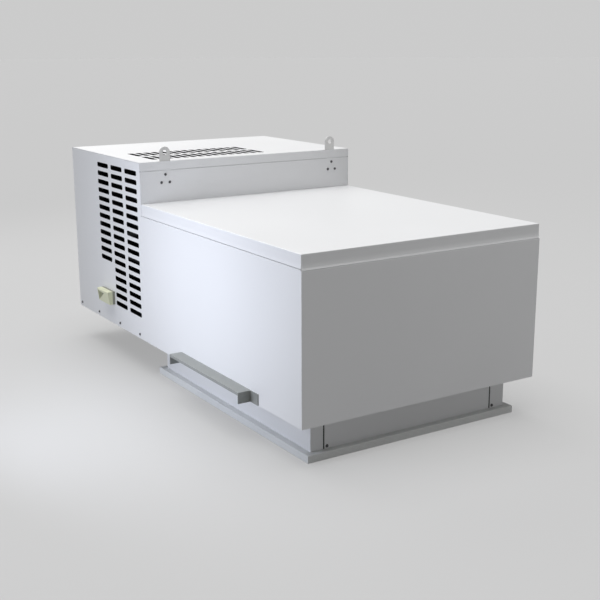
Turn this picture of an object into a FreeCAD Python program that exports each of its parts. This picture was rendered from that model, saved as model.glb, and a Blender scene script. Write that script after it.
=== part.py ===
import FreeCAD, Part
import math
import os

os.makedirs("parts", exist_ok=True)

Vector = FreeCAD.Vector

# Ceiling monoblock refrigeration unit. X runs across, +Y from the front to the rear, +Z up.
# The origin is the centre of the plug, in the roof plane on which the underside rests.

# Cabinet
WIDTH = 550.0
FRONT_LENGTH = 652.0
REAR_LENGTH = 406.0
LOW_HEIGHT = 312.0
TALL_HEIGHT = 402.0
PLUG_TO_FRONT = 336.0
SHEET = 1.2
BASE_SHEET = 2.0
JOINT = 0.2
OVERCUT = 1.0

# Flanges and seams of the sheet panels
LID_SKIRT = 26.0
LID_GAP = 0.6
LID_HEM = 10.0
LID_INSET = 0.8
LID_FLARE = 10.0
SEAT_FLANGE = 24.0
TOP_FLANGE = 18.0
COVER_SKIRT = 19.0
COVER_SEAM = 1.0
BASE_FLANGE = 20.0
RETURN_FLANGE = 18.0
GASKET_WIDTH = 12.0
GASKET_SETBACK = 3.0

# Air slots in the left side panel and the top cover
SLOT_LENGTH = 65.0
SLOT_WIDTH = 11.2
SLOT_CORNER = 2.0
SIDE_SLOT_PITCH = 20.0
TOP_SLOT_PITCH = 19.6
SLOT_COLUMN_PITCH = 80.0
SIDE_SLOT_FROM_TOP = 25.6
SIDE_SLOT_FROM_STEP = 52.0
SIDE_SLOT_ROWS = 17
SIDE_SLOT_ROWS_REAR = 12
SIDE_SLOT_COLUMNS = 3
TOP_SLOT_FROM_STEP = 74.0
TOP_SLOT_FROM_SIDE = 57.5
TOP_SLOT_COUNT = 15
TOP_SLOT_ROWS = 2

# Self-drilling hexagon screws
SCREW_RADIUS = 2.1
SCREW_HOLE_GAP = 0.1
SCREW_HEAD_RADIUS = 3.2
SCREW_HEAD_HEIGHT = 2.0
SCREW_REACH = 4.0
SCREW_FLATS = 6
SIDE_SCREW_HEIGHT = 10.0
SIDE_SCREW_FROM_STEP = 33.0
SIDE_SCREW_FROM_REAR = 15.0
SIDE_SCREW_INNER_PITCH = 130.0

# Lifting eyes behind the step face
EYE_LEFT_FROM_SIDE = 62.0
EYE_RIGHT_FROM_SIDE = 53.5
EYE_WIDTH = 25.0
EYE_HOLE = 10.4
EYE_CENTRE_ABOVE_TOP = 19.0
EYE_THICKNESS = 3.0
EYE_PLATE_WIDTH = 46.0
EYE_PLATE_MARGIN = 12.0
EYE_SLOT_GAP = 0.6
EYE_SCREW_PITCH = 20.0
EYE_SCREW_BELOW_TOP = 29.0
EYE_SCREWS_LEFT_FROM_SIDE = 61.0
EYE_SCREWS_RIGHT_FROM_SIDE = 49.5

# Grip rails on both sides
RAIL_FROM_FRONT = 177.5
RAIL_LENGTH = 294.0
RAIL_REACH = 28.0
RAIL_HEIGHT = 22.3
RAIL_SHEET = 2.0
RAIL_LIP = 6.0
RAIL_FOOT = 28.0

# Cable entry on the left side
ENTRY_FROM_STEP = 173.0
ENTRY_LENGTH = 66.0
ENTRY_BOTTOM = 50.0
ENTRY_HEIGHT = 31.0
ENTRY_BASE = 6.0
ENTRY_TOP_REACH = 18.0
ENTRY_BOTTOM_REACH = 14.0
ENTRY_WALL = 2.0
ENTRY_NOTCH = 37.0
ENTRY_HOLE_RADIUS = 10.0

# Small or hidden round pieces are drawn with flats
HOLE_FLATS = 8
PIPE_FLATS = 8
BEND_FLATS = 3
HUB_FLATS = 16
RING_FLATS = 40
CAN_FLATS = 40

# Plug through the ceiling panel
PLUG_SIDE_SETBACK = 42.0
PLUG_LENGTH = 597.0
PLUG_DEPTH = 63.3
PLUG_FOAM = 24.0
PLUG_SEAM = 3.0
PLUG_SEAM_DEPTH = 9.0
PLUG_LEFT_RETURN = 27.5
PLUG_RIGHT_RETURN = 35.0
PLUG_SCREW_FROM_SEAM = 5.5
PLUG_SCREW_ABOVE_FLANGE = 5.0
FLANGE_OVERHANG = 14.0
FLANGE_THICKNESS = 14.5
FLANGE_REBATE = 7.0
DIVIDER = 20.0

# Grilles in the plug
GRILLE_THICKNESS = 8.0
GRILLE_GAP = 0.3
GRILLE_BORDER = 12.0
GRILLE_BAR = 5.0
GRILLE_OPENING = 12.5
GRILLE_RIB = 5.0
BLADE_PITCH = 22.0
BLADE_THICKNESS = 1.6
BLADE_LEAN = 35.0

# Insulated evaporator housing
FOAM_WALL = 26.0
FOAM_FLOOR = 26.0
FOAM_CLEARANCE = 3.3
LID_FOAM_CLEARANCE = 1.0

# Evaporator fans
FAN_MARGIN = 6.0
FAN_RING_GAP = 3.5
FAN_RING_HEIGHT = 28.0
FAN_RING_WALL = 1.5
FAN_HUB_SHARE = 0.3
FAN_HUB_HEIGHT = 24.0
FAN_LIFT = 7.0
FAN_DECK = 1.5
FAN_BLADES = 5
BLADE_INNER_SHARE = 0.8
BLADE_ROOT_SHARE = 0.32
BLADE_TIP_SHARE = 0.66
BLADE_PITCH_ANGLE = 24.0
BLADE_CAMBER = 0.09
BLADE_ROOT_THICKNESS = 3.0
BLADE_TIP_THICKNESS = 1.8
MOTOR_SIZE = 66.0
MOTOR_LENGTH = 45.0
MOTOR_CORNER = 14.0
MOTOR_GROOVE = 2.4
MOTOR_GROOVE_SHARE = 0.45
MOTOR_NOSE_RADIUS = 12.0
MOTOR_NOSE = 6.0
SHAFT_RADIUS = 4.0
SHAFT_CLEARANCE = 0.06
SHAFT_IN_MOTOR = 32.0
STRAP_WIDTH = 30.0
STRAP_SHEET = 2.0
STRAP_HEIGHT = 60.0
STRAP_FOOT = 8.0
STRAP_FROM_RING = 8.0

# Evaporator coil, its tray, heater and drain
COIL_LEFT_GAP = 39.5
COIL_RIGHT_GAP = 22.5
COIL_FRONT = 8.0
COIL_DEPTH = 50.0
COIL_TOP_GAP = 7.5
COIL_FIN_LIFT = 14.0
COIL_PLATE = 1.5
COIL_FIN_PITCH = 21.0
COIL_FIN_SLIT = 15.0
COIL_SLIT_DEPTH = 14.0
TRAY_GAP = 6.5
TRAY_DEPTH = 70.0
TRAY_HEIGHT = 20.0
TRAY_SHEET = 1.5
HEATER_RADIUS = 4.0
DRAIN_GAP = 13.5
DRAIN_RADIUS = 6.0
DRAIN_SPIGOT = 15.0
DRAIN_SPIGOT_RADIUS = 8.0
DRAIN_HEIGHT = 8.5
EVAPORATOR_HEADER_GAP = 25.0
EVAPORATOR_HEADER_RADIUS = 8.0
EVAPORATOR_HEADER_END = 28.0
EVAPORATOR_STUB_RADIUS = 4.0
EVAPORATOR_STUBS = 2
DISTRIBUTOR = 16.0

# Compressor
COMPRESSOR_FROM_SIDE = 190.0
COMPRESSOR_MARGIN = 20.0
COMPRESSOR_HEIGHT = 215.0
COMPRESSOR_WALL = 3.5
COMPRESSOR_SHOULDER = 22.0
PUMP_GAP = 14.0
PUMP_HEIGHT = 120.0
FOOT_SHARE = 0.85
FOOT_RADIUS = 9.0
FOOT_HEIGHT = 12.0
FOOT_PLATE = 3.0
FOOT_BOLT_RADIUS = 3.0
FOOT_BOLT_GAP = 0.3
FOOT_BOLT_HEAD_RADIUS = 6.0
FOOT_BOLT_HEAD = 5.0
TERMINAL_WIDTH = 56.0
TERMINAL_HEIGHT = 60.0
TERMINAL_REACH = 28.0
TERMINAL_LEVEL = 90.0

# Refrigerant lines
SUCTION_RADIUS = 7.0
DISCHARGE_RADIUS = 5.0
LIQUID_RADIUS = 4.0
PIPE_BEND = 30.0
PIPE_HOLE_GAP = 1.0
SUCTION_BELOW_COIL = 51.0
SUCTION_PORT_LEVEL = 105.0
EXPANSION_LEVEL = 150.0
DISCHARGE_LEVEL = 183.0
DRIER_RADIUS = 16.0
DRIER_LENGTH = 110.0
DRIER_X = 95.0
DRIER_NECK = 8.0

# Condenser coil, shroud and fan
CONDENSER_FROM_REAR = 32.0
CONDENSER_DEPTH = 25.0
CONDENSER_SIDE_GAP = 68.8
CONDENSER_BASE = 54.0
CONDENSER_HEADROOM = 46.0
CONDENSER_TUBE_PITCH = 15.0
CONDENSER_TUBE = 2.0
CONDENSER_HEADER_RADIUS = 13.0
CONDENSER_STAND_SHEET = 1.5
SHROUD_SHEET = 1.5
SHROUD_DEPTH = 22.0
SHROUD_RING = 25.0
CONDENSER_FAN_MARGIN = 11.0
CONDENSER_FAN_GAP = 4.0
CONDENSER_HUB_LENGTH = 34.0
CONDENSER_STRAP_REACH = 55.0
CONDENSER_MOTOR_SIZE = 84.0
CONDENSER_MOTOR_LENGTH = 55.0
REAR_OPENING_MARGIN = 6.0

# Electrical box
ELECTRICAL_FROM_SIDE = 180.0
ELECTRICAL_SIDE_GAP = 11.8
ELECTRICAL_REAR_GAP = 12.0
ELECTRICAL_BOTTOM = 70.0
ELECTRICAL_BELOW_EYE = 8.0
ELECTRICAL_LID = 14.0

# Planes that follow from the sizes above
half_width = WIDTH / 2
inside = half_width - SHEET
front = -PLUG_TO_FRONT
step = front + FRONT_LENGTH
rear = step + REAR_LENGTH
seam = LOW_HEIGHT - LID_SKIRT - LID_GAP
lid_side = half_width - LID_INSET
lid_front = front + LID_INSET
cover_seam = TALL_HEIGHT - COVER_SKIRT
panel_front = front + SHEET + JOINT
panel_rear = rear - SHEET - JOINT
panel_top = TALL_HEIGHT - SHEET - JOINT
tall_front = step + SHEET + JOINT
base_side = inside - JOINT
plug_half_width = half_width - PLUG_SIDE_SETBACK
plug_half_length = PLUG_LENGTH / 2
duct_half_width = plug_half_width - SHEET - PLUG_FOAM
duct_far = plug_half_length - SHEET - PLUG_FOAM
duct_near = DIVIDER / 2
flange_bottom = -PLUG_DEPTH - FLANGE_THICKNESS
foam_side = inside - FOAM_CLEARANCE
foam_front = panel_front + BASE_SHEET + FOAM_CLEARANCE / 2
foam_rear = step - SHEET - 2 * JOINT
foam_top = seam - SHEET - JOINT
cavity_side = foam_side - FOAM_WALL
cavity_front = foam_front + FOAM_WALL
cavity_rear = foam_rear - FOAM_WALL
cavity_floor = BASE_SHEET + FOAM_FLOOR
fan_x = duct_half_width / 2
fan_y = -(duct_near + duct_far) / 2
fan_radius = fan_x - FAN_MARGIN
fan_ring_inner = fan_radius + FAN_RING_GAP
coil_left = -cavity_side + COIL_LEFT_GAP
coil_right = cavity_side - COIL_RIGHT_GAP
coil_top = foam_top - COIL_TOP_GAP
coil_y = COIL_FRONT + COIL_DEPTH / 2
tray_side = cavity_side - TRAY_GAP
drain_x = cavity_side - DRAIN_GAP
drain_level = cavity_floor + DRAIN_HEIGHT
header_x = coil_left - EVAPORATOR_HEADER_GAP
expansion_x = coil_left - COIL_PLATE - DISTRIBUTOR / 2
suction_level = coil_top - SUCTION_BELOW_COIL
condenser_side = inside - CONDENSER_SIDE_GAP
condenser_front = rear - CONDENSER_FROM_REAR - CONDENSER_DEPTH / 2
condenser_middle = condenser_front + CONDENSER_DEPTH / 2
condenser_rows = int((TALL_HEIGHT - CONDENSER_HEADROOM - CONDENSER_BASE) / CONDENSER_TUBE_PITCH)
condenser_top = CONDENSER_BASE + condenser_rows * CONDENSER_TUBE_PITCH + CONDENSER_TUBE
condenser_header_x = condenser_side + CONDENSER_HEADER_RADIUS
condenser_axis = (CONDENSER_BASE + condenser_top) / 2
condenser_fan_radius = (condenser_top - CONDENSER_BASE) / 2 - CONDENSER_FAN_MARGIN
shroud_front = condenser_front - JOINT - SHROUD_DEPTH
strap_front = shroud_front - SHROUD_RING - CONDENSER_STRAP_REACH
pipe_run_y = strap_front + CONDENSER_STRAP_REACH / 2
bay = strap_front - CONDENSER_MOTOR_LENGTH - step
compressor_x = -half_width + COMPRESSOR_FROM_SIDE
compressor_y = step + bay / 2
compressor_radius = bay / 2 - COMPRESSOR_MARGIN
compressor_foot = BASE_SHEET + FOOT_HEIGHT + FOOT_PLATE
drier_level = CONDENSER_BASE + 2 * CONDENSER_TUBE_PITCH


# Building blocks of the shapes

def block(x0, x1, y0, y1, z0, z1):
    """Box between two opposite corners."""
    return Part.makeBox(x1 - x0, y1 - y0, z1 - z0, Vector(x0, y0, z0))


def rod(start, direction, radius, length):
    """Round bar from a point along a direction."""
    return Part.makeCylinder(radius, length, Vector(*start), Vector(*direction))


def corner_ring(start, direction, radius, flats):
    """Corners of an even-sided outline round a point, square to a direction."""
    turn = FreeCAD.Rotation(Vector(0, 0, 1), Vector(*direction))
    corners = []
    for corner in range(flats):
        angle = 2 * math.pi * (corner + 0.5) / flats
        spoke = Vector(radius * math.cos(angle), radius * math.sin(angle), 0)
        corners.append(Vector(*start) + turn.multVec(spoke))
    return corners


def bar(start, direction, radius, length, flats):
    """Bar with flat sides, for hexagons and for round pieces too small or hidden to matter."""
    corners = corner_ring(start, direction, radius, flats)
    return Part.Face(Part.makePolygon(corners + corners[:1])).extrude(Vector(*direction) * length)


def tapered(low, high):
    """Solid with flat faces between two outlines whose edges run parallel in pairs."""
    faces = [Part.Face(Part.makePolygon(outline + outline[:1])) for outline in (low, high)]
    for number in range(len(low)):
        follower = (number + 1) % len(low)
        faces.append(Part.Face(Part.makePolygon([low[number], low[follower], high[follower],
                                                 high[number], low[number]])))
    return Part.Solid(Part.Shell(faces))


def rectangle(x0, x1, y0, y1, z):
    """Corners of a level rectangle."""
    return [Vector(x0, y0, z), Vector(x1, y0, z), Vector(x1, y1, z), Vector(x0, y1, z)]


def prism(points, travel):
    """Flat outline pushed along a vector."""
    corners = [Vector(*point) for point in points]
    return Part.Face(Part.makePolygon(corners + corners[:1])).extrude(Vector(*travel))


def joined(*pieces):
    """One solid from pieces that touch or overlap."""
    return pieces[0].fuse(list(pieces[1:])).removeSplitter()


def group(pieces):
    """Separate solids that share one node."""
    return Part.makeCompound(pieces)


def mirrored(shape):
    """The same piece for the other side of the unit."""
    return shape.mirror(Vector(0, 0, 0), Vector(1, 0, 0))


def front_to_rear(shape):
    """The same piece on the other side of the plug's middle."""
    return shape.mirror(Vector(0, 0, 0), Vector(0, 1, 0))


def slot_points():
    """Outline of an air slot along its first axis, each rounded corner drawn as one flat."""
    points = []
    for end in (1, -1):
        for edge in (-1, 1):
            tip = (end * SLOT_LENGTH / 2, end * edge * (SLOT_WIDTH / 2 - SLOT_CORNER))
            flank = (end * (SLOT_LENGTH / 2 - SLOT_CORNER), end * edge * SLOT_WIDTH / 2)
            points += [flank, tip] if edge < 0 else [tip, flank]
    return points


def screw(seat, outward):
    """Self-drilling screw: a hexagon head on its seat and a shank through the sheets."""
    inward = tuple(-value for value in outward)
    head = bar(seat, outward, SCREW_HEAD_RADIUS, SCREW_HEAD_HEIGHT, SCREW_FLATS)
    return joined(head, bar(seat, inward, SCREW_RADIUS, SCREW_REACH, SCREW_FLATS))


def screw_hole(seat, inward):
    """Cutter for the hole that a screw goes through, from just outside its seat."""
    start = tuple(at - way for at, way in zip(seat, inward))
    return bar(start, inward, SCREW_RADIUS + SCREW_HOLE_GAP, SCREW_REACH + 2 * OVERCUT, SCREW_FLATS)


def pipe(points, radius):
    """Pipe along a route with square corners, each corner bent in a few short flats."""
    corners = [Vector(*point) for point in points]
    route = corners[:1]
    for before, corner, after in zip(corners, corners[1:], corners[2:]):
        back = (before - corner).normalize() * PIPE_BEND
        ahead = (after - corner).normalize() * PIPE_BEND
        for flat in range(BEND_FLATS + 1):
            turn = math.pi / 2 * flat / BEND_FLATS
            route.append(corner + back * (1 - math.sin(turn)) + ahead * (1 - math.cos(turn)))
    route.append(corners[-1])
    section = corner_ring(points[0], corners[1] - corners[0], radius, PIPE_FLATS)
    ring = Part.makePolygon(section + section[:1])
    return Part.makePolygon(route).makePipeShell([ring], True, False, 1)


# Sheet casing

def base_pan():
    """Floor tray of the unit, its edges turned up, with the two air openings of the plug."""
    floor = block(-base_side, base_side, panel_front, panel_rear, 0, BASE_SHEET)
    rim = block(-base_side, base_side, panel_front, panel_rear, 0, BASE_FLANGE)
    hollow = block(-base_side + BASE_SHEET, base_side - BASE_SHEET,
                   panel_front + BASE_SHEET, panel_rear - BASE_SHEET, 0, BASE_FLANGE)
    cutters = duct_windows(0, BASE_SHEET, 0)
    for y in side_screw_places():
        hole = screw_hole((-half_width, y, SIDE_SCREW_HEIGHT), (1, 0, 0))
        cutters += [hole, mirrored(hole)]
    return joined(floor, rim.cut(hollow)).cut(cutters)


def side_screw_places():
    """Distances along Y of the four screws at the foot of each side panel."""
    first = step + SIDE_SCREW_FROM_STEP
    last = rear - SIDE_SCREW_FROM_REAR
    middle = (first + last) / 2
    half_pitch = SIDE_SCREW_INNER_PITCH / 2
    return [first, middle - half_pitch, middle + half_pitch, last]


def side_panel():
    """Stepped side panel for the left, one sheet from front to rear with turned-in top edges."""
    outline = [(panel_front, 0), (panel_rear, 0), (panel_rear, panel_top), (tall_front, panel_top),
               (tall_front, seam), (panel_front, seam)]
    sheet = prism([(-half_width, y, z) for y, z in outline], (SHEET, 0, 0))
    seat = block(-half_width, -inside + SEAT_FLANGE, panel_front, step - JOINT, seam - SHEET, seam)
    top = block(-half_width, -inside + TOP_FLANGE, tall_front, panel_rear,
                panel_top - SHEET, panel_top)
    holes = [screw_hole((-half_width, y, SIDE_SCREW_HEIGHT), (1, 0, 0)) for y in side_screw_places()]
    return joined(sheet, seat, top).cut(holes)


def side_panel_left():
    """Left panel with its three columns of air slots and the hole behind the cable entry."""
    cutters = [entry_hole()]
    for column in range(SIDE_SLOT_COLUMNS):
        rows = SIDE_SLOT_ROWS_REAR if column == SIDE_SLOT_COLUMNS - 1 else SIDE_SLOT_ROWS
        y = step + SIDE_SLOT_FROM_STEP + column * SLOT_COLUMN_PITCH
        for row in range(rows):
            z = TALL_HEIGHT - SIDE_SLOT_FROM_TOP - row * SIDE_SLOT_PITCH
            points = [(-half_width - OVERCUT, y + a, z + b) for a, b in slot_points()]
            cutters.append(prism(points, (SHEET + 2 * OVERCUT, 0, 0)))
    return side_panel().cut(cutters)


def side_panel_right():
    """Right panel, plain because the electrical box stands behind it."""
    return mirrored(side_panel())


def front_panel():
    """Plain front sheet with edges turned back inside the side panels and under the lid."""
    sheet = block(-half_width, half_width, front, front + SHEET, 0, seam)
    seat_side = inside - SEAT_FLANGE - JOINT
    seat = block(-seat_side, seat_side, front, panel_front + SEAT_FLANGE, seam - SHEET, seam)
    wing = block(-base_side, -base_side + SHEET, front, panel_front + RETURN_FLANGE,
                 BASE_FLANGE + JOINT, seam - SHEET - JOINT)
    return joined(sheet, seat, wing, mirrored(wing))


def bulkhead_panel():
    """Wall between the two sections; above the lid it is the step face of the tall section."""
    outline = [(-base_side, BASE_SHEET), (base_side, BASE_SHEET), (base_side, seam + JOINT),
               (half_width, seam + JOINT), (half_width, cover_seam - COVER_SEAM),
               (-half_width, cover_seam - COVER_SEAM), (-half_width, seam + JOINT),
               (-base_side, seam + JOINT)]
    sheet = prism([(x, step, z) for x, z in outline], (0, SHEET, 0))
    foot_side = base_side - BASE_SHEET - JOINT
    foot = block(-foot_side, foot_side, step, step + RETURN_FLANGE, BASE_SHEET, BASE_SHEET + SHEET)
    notch = block(foot_side, half_width, step, step + RETURN_FLANGE, 0, BASE_FLANGE + JOINT)
    cutters = [notch, mirrored(notch)] + wall_passages()
    cutters += [screw_hole((x, step, z), (0, 1, 0)) for x, z in eye_screw_places()]
    return joined(sheet, foot).cut(cutters)


def wall_passages():
    """Cutters for the drain and the two pipes that cross from one section to the other."""
    start = cavity_rear - OVERCUT
    length = step + 2 * SHEET - start
    lines = [(header_x, suction_level, SUCTION_RADIUS), (expansion_x, EXPANSION_LEVEL, LIQUID_RADIUS),
             (drain_x, drain_level, DRAIN_RADIUS)]
    return [bar((x, start, z), (0, 1, 0), radius + PIPE_HOLE_GAP, length, HOLE_FLATS)
            for x, z, radius in lines]


def lid_rail():
    """Angle along the bulkhead that carries the rear edge of the lid."""
    side = inside - SEAT_FLANGE - JOINT
    y = step - JOINT
    ledge = block(-side, side, y - SEAT_FLANGE, y, seam - SHEET, seam)
    leg = block(-side, side, y - SHEET, y, seam - SEAT_FLANGE, seam)
    return joined(ledge, leg)


def rear_panel():
    """Rear sheet with the opening through which the condenser breathes."""
    high = cover_seam - COVER_SEAM
    sheet = block(-half_width, half_width, rear - SHEET, rear, 0, high)
    wing = block(-base_side, -base_side + SHEET, rear - RETURN_FLANGE, rear,
                 BASE_FLANGE + JOINT, high)
    opening_side = condenser_side - REAR_OPENING_MARGIN
    opening = block(-opening_side, opening_side, rear - SHEET, rear,
                    CONDENSER_BASE + REAR_OPENING_MARGIN, condenser_top - REAR_OPENING_MARGIN)
    drain = bar((drain_x, rear - 2 * SHEET, drain_level), (0, 1, 0), DRAIN_RADIUS + PIPE_HOLE_GAP,
                3 * SHEET, HOLE_FLATS)
    return joined(sheet, wing, mirrored(wing)).cut([opening, drain])


def condenser_top_cover():
    """Lid of the tall section: a flat sheet with front and rear skirts, slots and eye openings."""
    top = block(-half_width, half_width, step, rear, TALL_HEIGHT - SHEET, TALL_HEIGHT)
    front_skirt = block(-half_width, half_width, step, step + SHEET, cover_seam, TALL_HEIGHT)
    rear_skirt = block(-half_width, half_width, rear - SHEET, rear, cover_seam, TALL_HEIGHT)
    below = TALL_HEIGHT - 2 * SHEET
    cutters = []
    for row in range(TOP_SLOT_ROWS):
        y = step + TOP_SLOT_FROM_STEP + row * SLOT_COLUMN_PITCH
        for column in range(TOP_SLOT_COUNT):
            x = -half_width + TOP_SLOT_FROM_SIDE + column * TOP_SLOT_PITCH
            points = [(x + b, y + a, below) for a, b in slot_points()]
            cutters.append(prism(points, (0, 0, 3 * SHEET)))
    reach = EYE_WIDTH / 2 + EYE_SLOT_GAP
    for x in eye_places():
        cutters.append(block(x - reach, x + reach, tall_front - EYE_SLOT_GAP,
                             tall_front + EYE_THICKNESS + EYE_SLOT_GAP, below, TALL_HEIGHT))
    return joined(top, front_skirt, rear_skirt).cut(cutters)


def evaporator_lid():
    """Lift-off lid of the low section: an inverted tray, its skirt flared to a hemmed lower edge."""
    bottom = LOW_HEIGHT - LID_SKIRT
    flare_top = bottom + LID_FLARE
    back = step - JOINT
    hem = rectangle(-half_width, half_width, front, back, bottom)
    flare = tapered(hem, rectangle(-lid_side, lid_side, lid_front, back, flare_top))
    tray = block(-lid_side, lid_side, lid_front, back, flare_top, LOW_HEIGHT)
    side = lid_side - SHEET
    hollow = block(-side, side, lid_front + SHEET, back - SHEET, bottom + SHEET, LOW_HEIGHT - SHEET)
    mouth = block(-side + LID_HEM, side - LID_HEM, lid_front + SHEET + LID_HEM,
                  back - SHEET - LID_HEM, bottom, bottom + SHEET)
    return joined(flare, tray).cut([hollow, mouth])


def lid_gasket():
    """Soft strip between the lid's hem and the turned-in edges of the panels."""
    side = half_width - GASKET_SETBACK
    y0 = front + GASKET_SETBACK
    y1 = step - JOINT - GASKET_SETBACK
    ring = block(-side, side, y0, y1, seam, seam + LID_GAP)
    return ring.cut(block(-side + GASKET_WIDTH, side - GASKET_WIDTH, y0 + GASKET_WIDTH,
                          y1 - GASKET_WIDTH, seam, seam + LID_GAP))


def lid_insulation():
    """Foam slab glued in the lid, with a raised centre that closes the insulated housing."""
    low = LOW_HEIGHT - LID_SKIRT + SHEET + JOINT
    side = lid_side - SHEET - JOINT
    slab = block(-side, side, lid_front + SHEET + JOINT, step - SHEET - 2 * JOINT, low,
                 LOW_HEIGHT - SHEET)
    inset = SEAT_FLANGE + LID_FOAM_CLEARANCE
    centre = block(-inside + inset, inside - inset, panel_front + inset, step - JOINT - inset,
                   foam_top, low)
    return joined(slab, centre)


# Lifting eyes and screws

def eye_places():
    """Middles of the two eyes along X."""
    return [-half_width + EYE_LEFT_FROM_SIDE, half_width - EYE_RIGHT_FROM_SIDE]


def eye_screw_middles():
    """Middles of the two groups of three screws along X."""
    return [-half_width + EYE_SCREWS_LEFT_FROM_SIDE, half_width - EYE_SCREWS_RIGHT_FROM_SIDE]


def eye_screw_trio(middle):
    """Three screws at the corners of an upright equal-sided triangle."""
    top = TALL_HEIGHT - EYE_SCREW_BELOW_TOP
    low = top - EYE_SCREW_PITCH * math.sin(math.pi / 3)
    return [(middle, top), (middle - EYE_SCREW_PITCH / 2, low), (middle + EYE_SCREW_PITCH / 2, low)]


def eye_screw_places():
    """All six screws of the eyes in the plane of the step face."""
    left, right = eye_screw_middles()
    return eye_screw_trio(left) + eye_screw_trio(right)


def eye_foot_level():
    """Lower edge of the eye plates."""
    low = TALL_HEIGHT - EYE_SCREW_BELOW_TOP - EYE_SCREW_PITCH * math.sin(math.pi / 3)
    return low - EYE_PLATE_MARGIN


def lifting_eye(x, screws_middle):
    """Flat eye whose tongue passes up through the cover and whose foot is screwed to the wall."""
    y = tall_front
    shoulder = TALL_HEIGHT - EYE_SCREW_BELOW_TOP + EYE_PLATE_MARGIN
    centre = TALL_HEIGHT + EYE_CENTRE_ABOVE_TOP
    half_plate = EYE_PLATE_WIDTH / 2
    foot = block(screws_middle - half_plate, screws_middle + half_plate, y, y + EYE_THICKNESS,
                 eye_foot_level(), shoulder)
    tongue = block(x - EYE_WIDTH / 2, x + EYE_WIDTH / 2, y, y + EYE_THICKNESS,
                   eye_foot_level(), centre)
    head = rod((x, y, centre), (0, 1, 0), EYE_WIDTH / 2, EYE_THICKNESS)
    cutters = [rod((x, y, centre), (0, 1, 0), EYE_HOLE / 2, EYE_THICKNESS)]
    cutters += [screw_hole((at_x, y, at_z), (0, 1, 0)) for at_x, at_z in eye_screw_trio(screws_middle)]
    return joined(foot, tongue, head).cut(cutters)


def lifting_eye_screws():
    """Six screws that hold the eyes against the back of the step face."""
    return group([screw((x, step, z), (0, -1, 0)) for x, z in eye_screw_places()])


def base_screws():
    """Four screws on each side between the side panels and the base pan's edges."""
    left = [screw((-half_width, y, SIDE_SCREW_HEIGHT), (-1, 0, 0)) for y in side_screw_places()]
    return group(left + [mirrored(piece) for piece in left])


# Grip rails

def grip_rail():
    """Folded rail for the left: a ledge with a short lip, carried by two footed end plates."""
    y0 = front + RAIL_FROM_FRONT
    y1 = y0 + RAIL_LENGTH
    outer = -half_width - RAIL_REACH
    ledge = block(outer, -half_width, y0, y1, RAIL_HEIGHT - RAIL_SHEET, RAIL_HEIGHT)
    lip = block(outer, outer + RAIL_SHEET, y0, y1, RAIL_HEIGHT - RAIL_LIP, RAIL_HEIGHT)
    pieces = [ledge, lip]
    for plate, foot in ((y0, y0 - RAIL_FOOT), (y1 - RAIL_SHEET, y1 - RAIL_SHEET)):
        pieces.append(block(outer, -half_width, plate, plate + RAIL_SHEET, 0, RAIL_HEIGHT))
        pieces.append(block(-half_width - RAIL_SHEET, -half_width, foot,
                            foot + RAIL_FOOT + RAIL_SHEET, 0, RAIL_HEIGHT))
    return joined(*pieces)


# Cable entry

def entry_front():
    """Front end of the cable entry along Y."""
    return step + ENTRY_FROM_STEP


def entry_hole():
    """Cutter for the cable hole through the entry's base and the side panel."""
    y = entry_front() + ENTRY_LENGTH / 2
    z = ENTRY_BOTTOM + ENTRY_HEIGHT / 2
    return bar((-half_width - ENTRY_BASE - OVERCUT, y, z), (1, 0, 0), ENTRY_HOLE_RADIUS,
               ENTRY_BASE + SHEET + 2 * OVERCUT, HUB_FLATS)


def cable_entry_base():
    """Flat base of the cable entry on the side panel."""
    base = block(-half_width - ENTRY_BASE, -half_width, entry_front(), entry_front() + ENTRY_LENGTH,
                 ENTRY_BOTTOM, ENTRY_BOTTOM + ENTRY_HEIGHT)
    return base.cut(entry_hole())


def cable_entry_cover():
    """Hollow cap over the cable entry, its face leaning in, with a three-sided cable opening."""
    wall = ENTRY_WALL
    inner = -half_width - ENTRY_BASE
    top_reach = -half_width - ENTRY_TOP_REACH
    low_reach = -half_width - ENTRY_BOTTOM_REACH
    low = ENTRY_BOTTOM
    high = ENTRY_BOTTOM + ENTRY_HEIGHT
    y = entry_front()
    end = y + ENTRY_LENGTH
    shell = prism([(inner, y, low), (low_reach, y, low), (top_reach, y, high - wall),
                   (top_reach + wall, y, high), (inner, y, high)], (0, ENTRY_LENGTH, 0))
    hollow = prism([(inner, y + wall, low + wall), (low_reach + wall, y + wall, low + wall),
                    (top_reach + wall, y + wall, high - 2 * wall), (inner, y + wall, high - wall)],
                   (0, ENTRY_LENGTH - 2 * wall, 0))
    opening = prism([(top_reach, end - wall, low + wall), (top_reach, end - wall, high - 3 * wall),
                     (top_reach, end - ENTRY_NOTCH, high - 4 * wall)],
                    (ENTRY_TOP_REACH - ENTRY_BASE, 0, 0))
    return shell.cut([hollow, opening])


# Plug through the ceiling

def plug_seams():
    """Outer edges of the two open seams in the plug's front and rear faces along X."""
    return -plug_half_width + PLUG_LEFT_RETURN, plug_half_width - PLUG_RIGHT_RETURN


def plug_collar_left():
    """Left skin of the plug, with returns onto its front and rear faces."""
    seam_x = plug_seams()[0]
    skin = block(-plug_half_width, seam_x, -plug_half_length, plug_half_length, -PLUG_DEPTH, 0)
    return skin.cut(block(-plug_half_width + SHEET, seam_x, -plug_half_length + SHEET,
                          plug_half_length - SHEET, -PLUG_DEPTH, 0))


def plug_collar_right():
    """Right skin of the plug, with returns onto its front and rear faces."""
    seam_x = plug_seams()[1]
    skin = block(seam_x, plug_half_width, -plug_half_length, plug_half_length, -PLUG_DEPTH, 0)
    hollow = block(seam_x, plug_half_width - SHEET, -plug_half_length + SHEET,
                   plug_half_length - SHEET, -PLUG_DEPTH, 0)
    return skin.cut([hollow] + plug_screw_holes())


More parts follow.
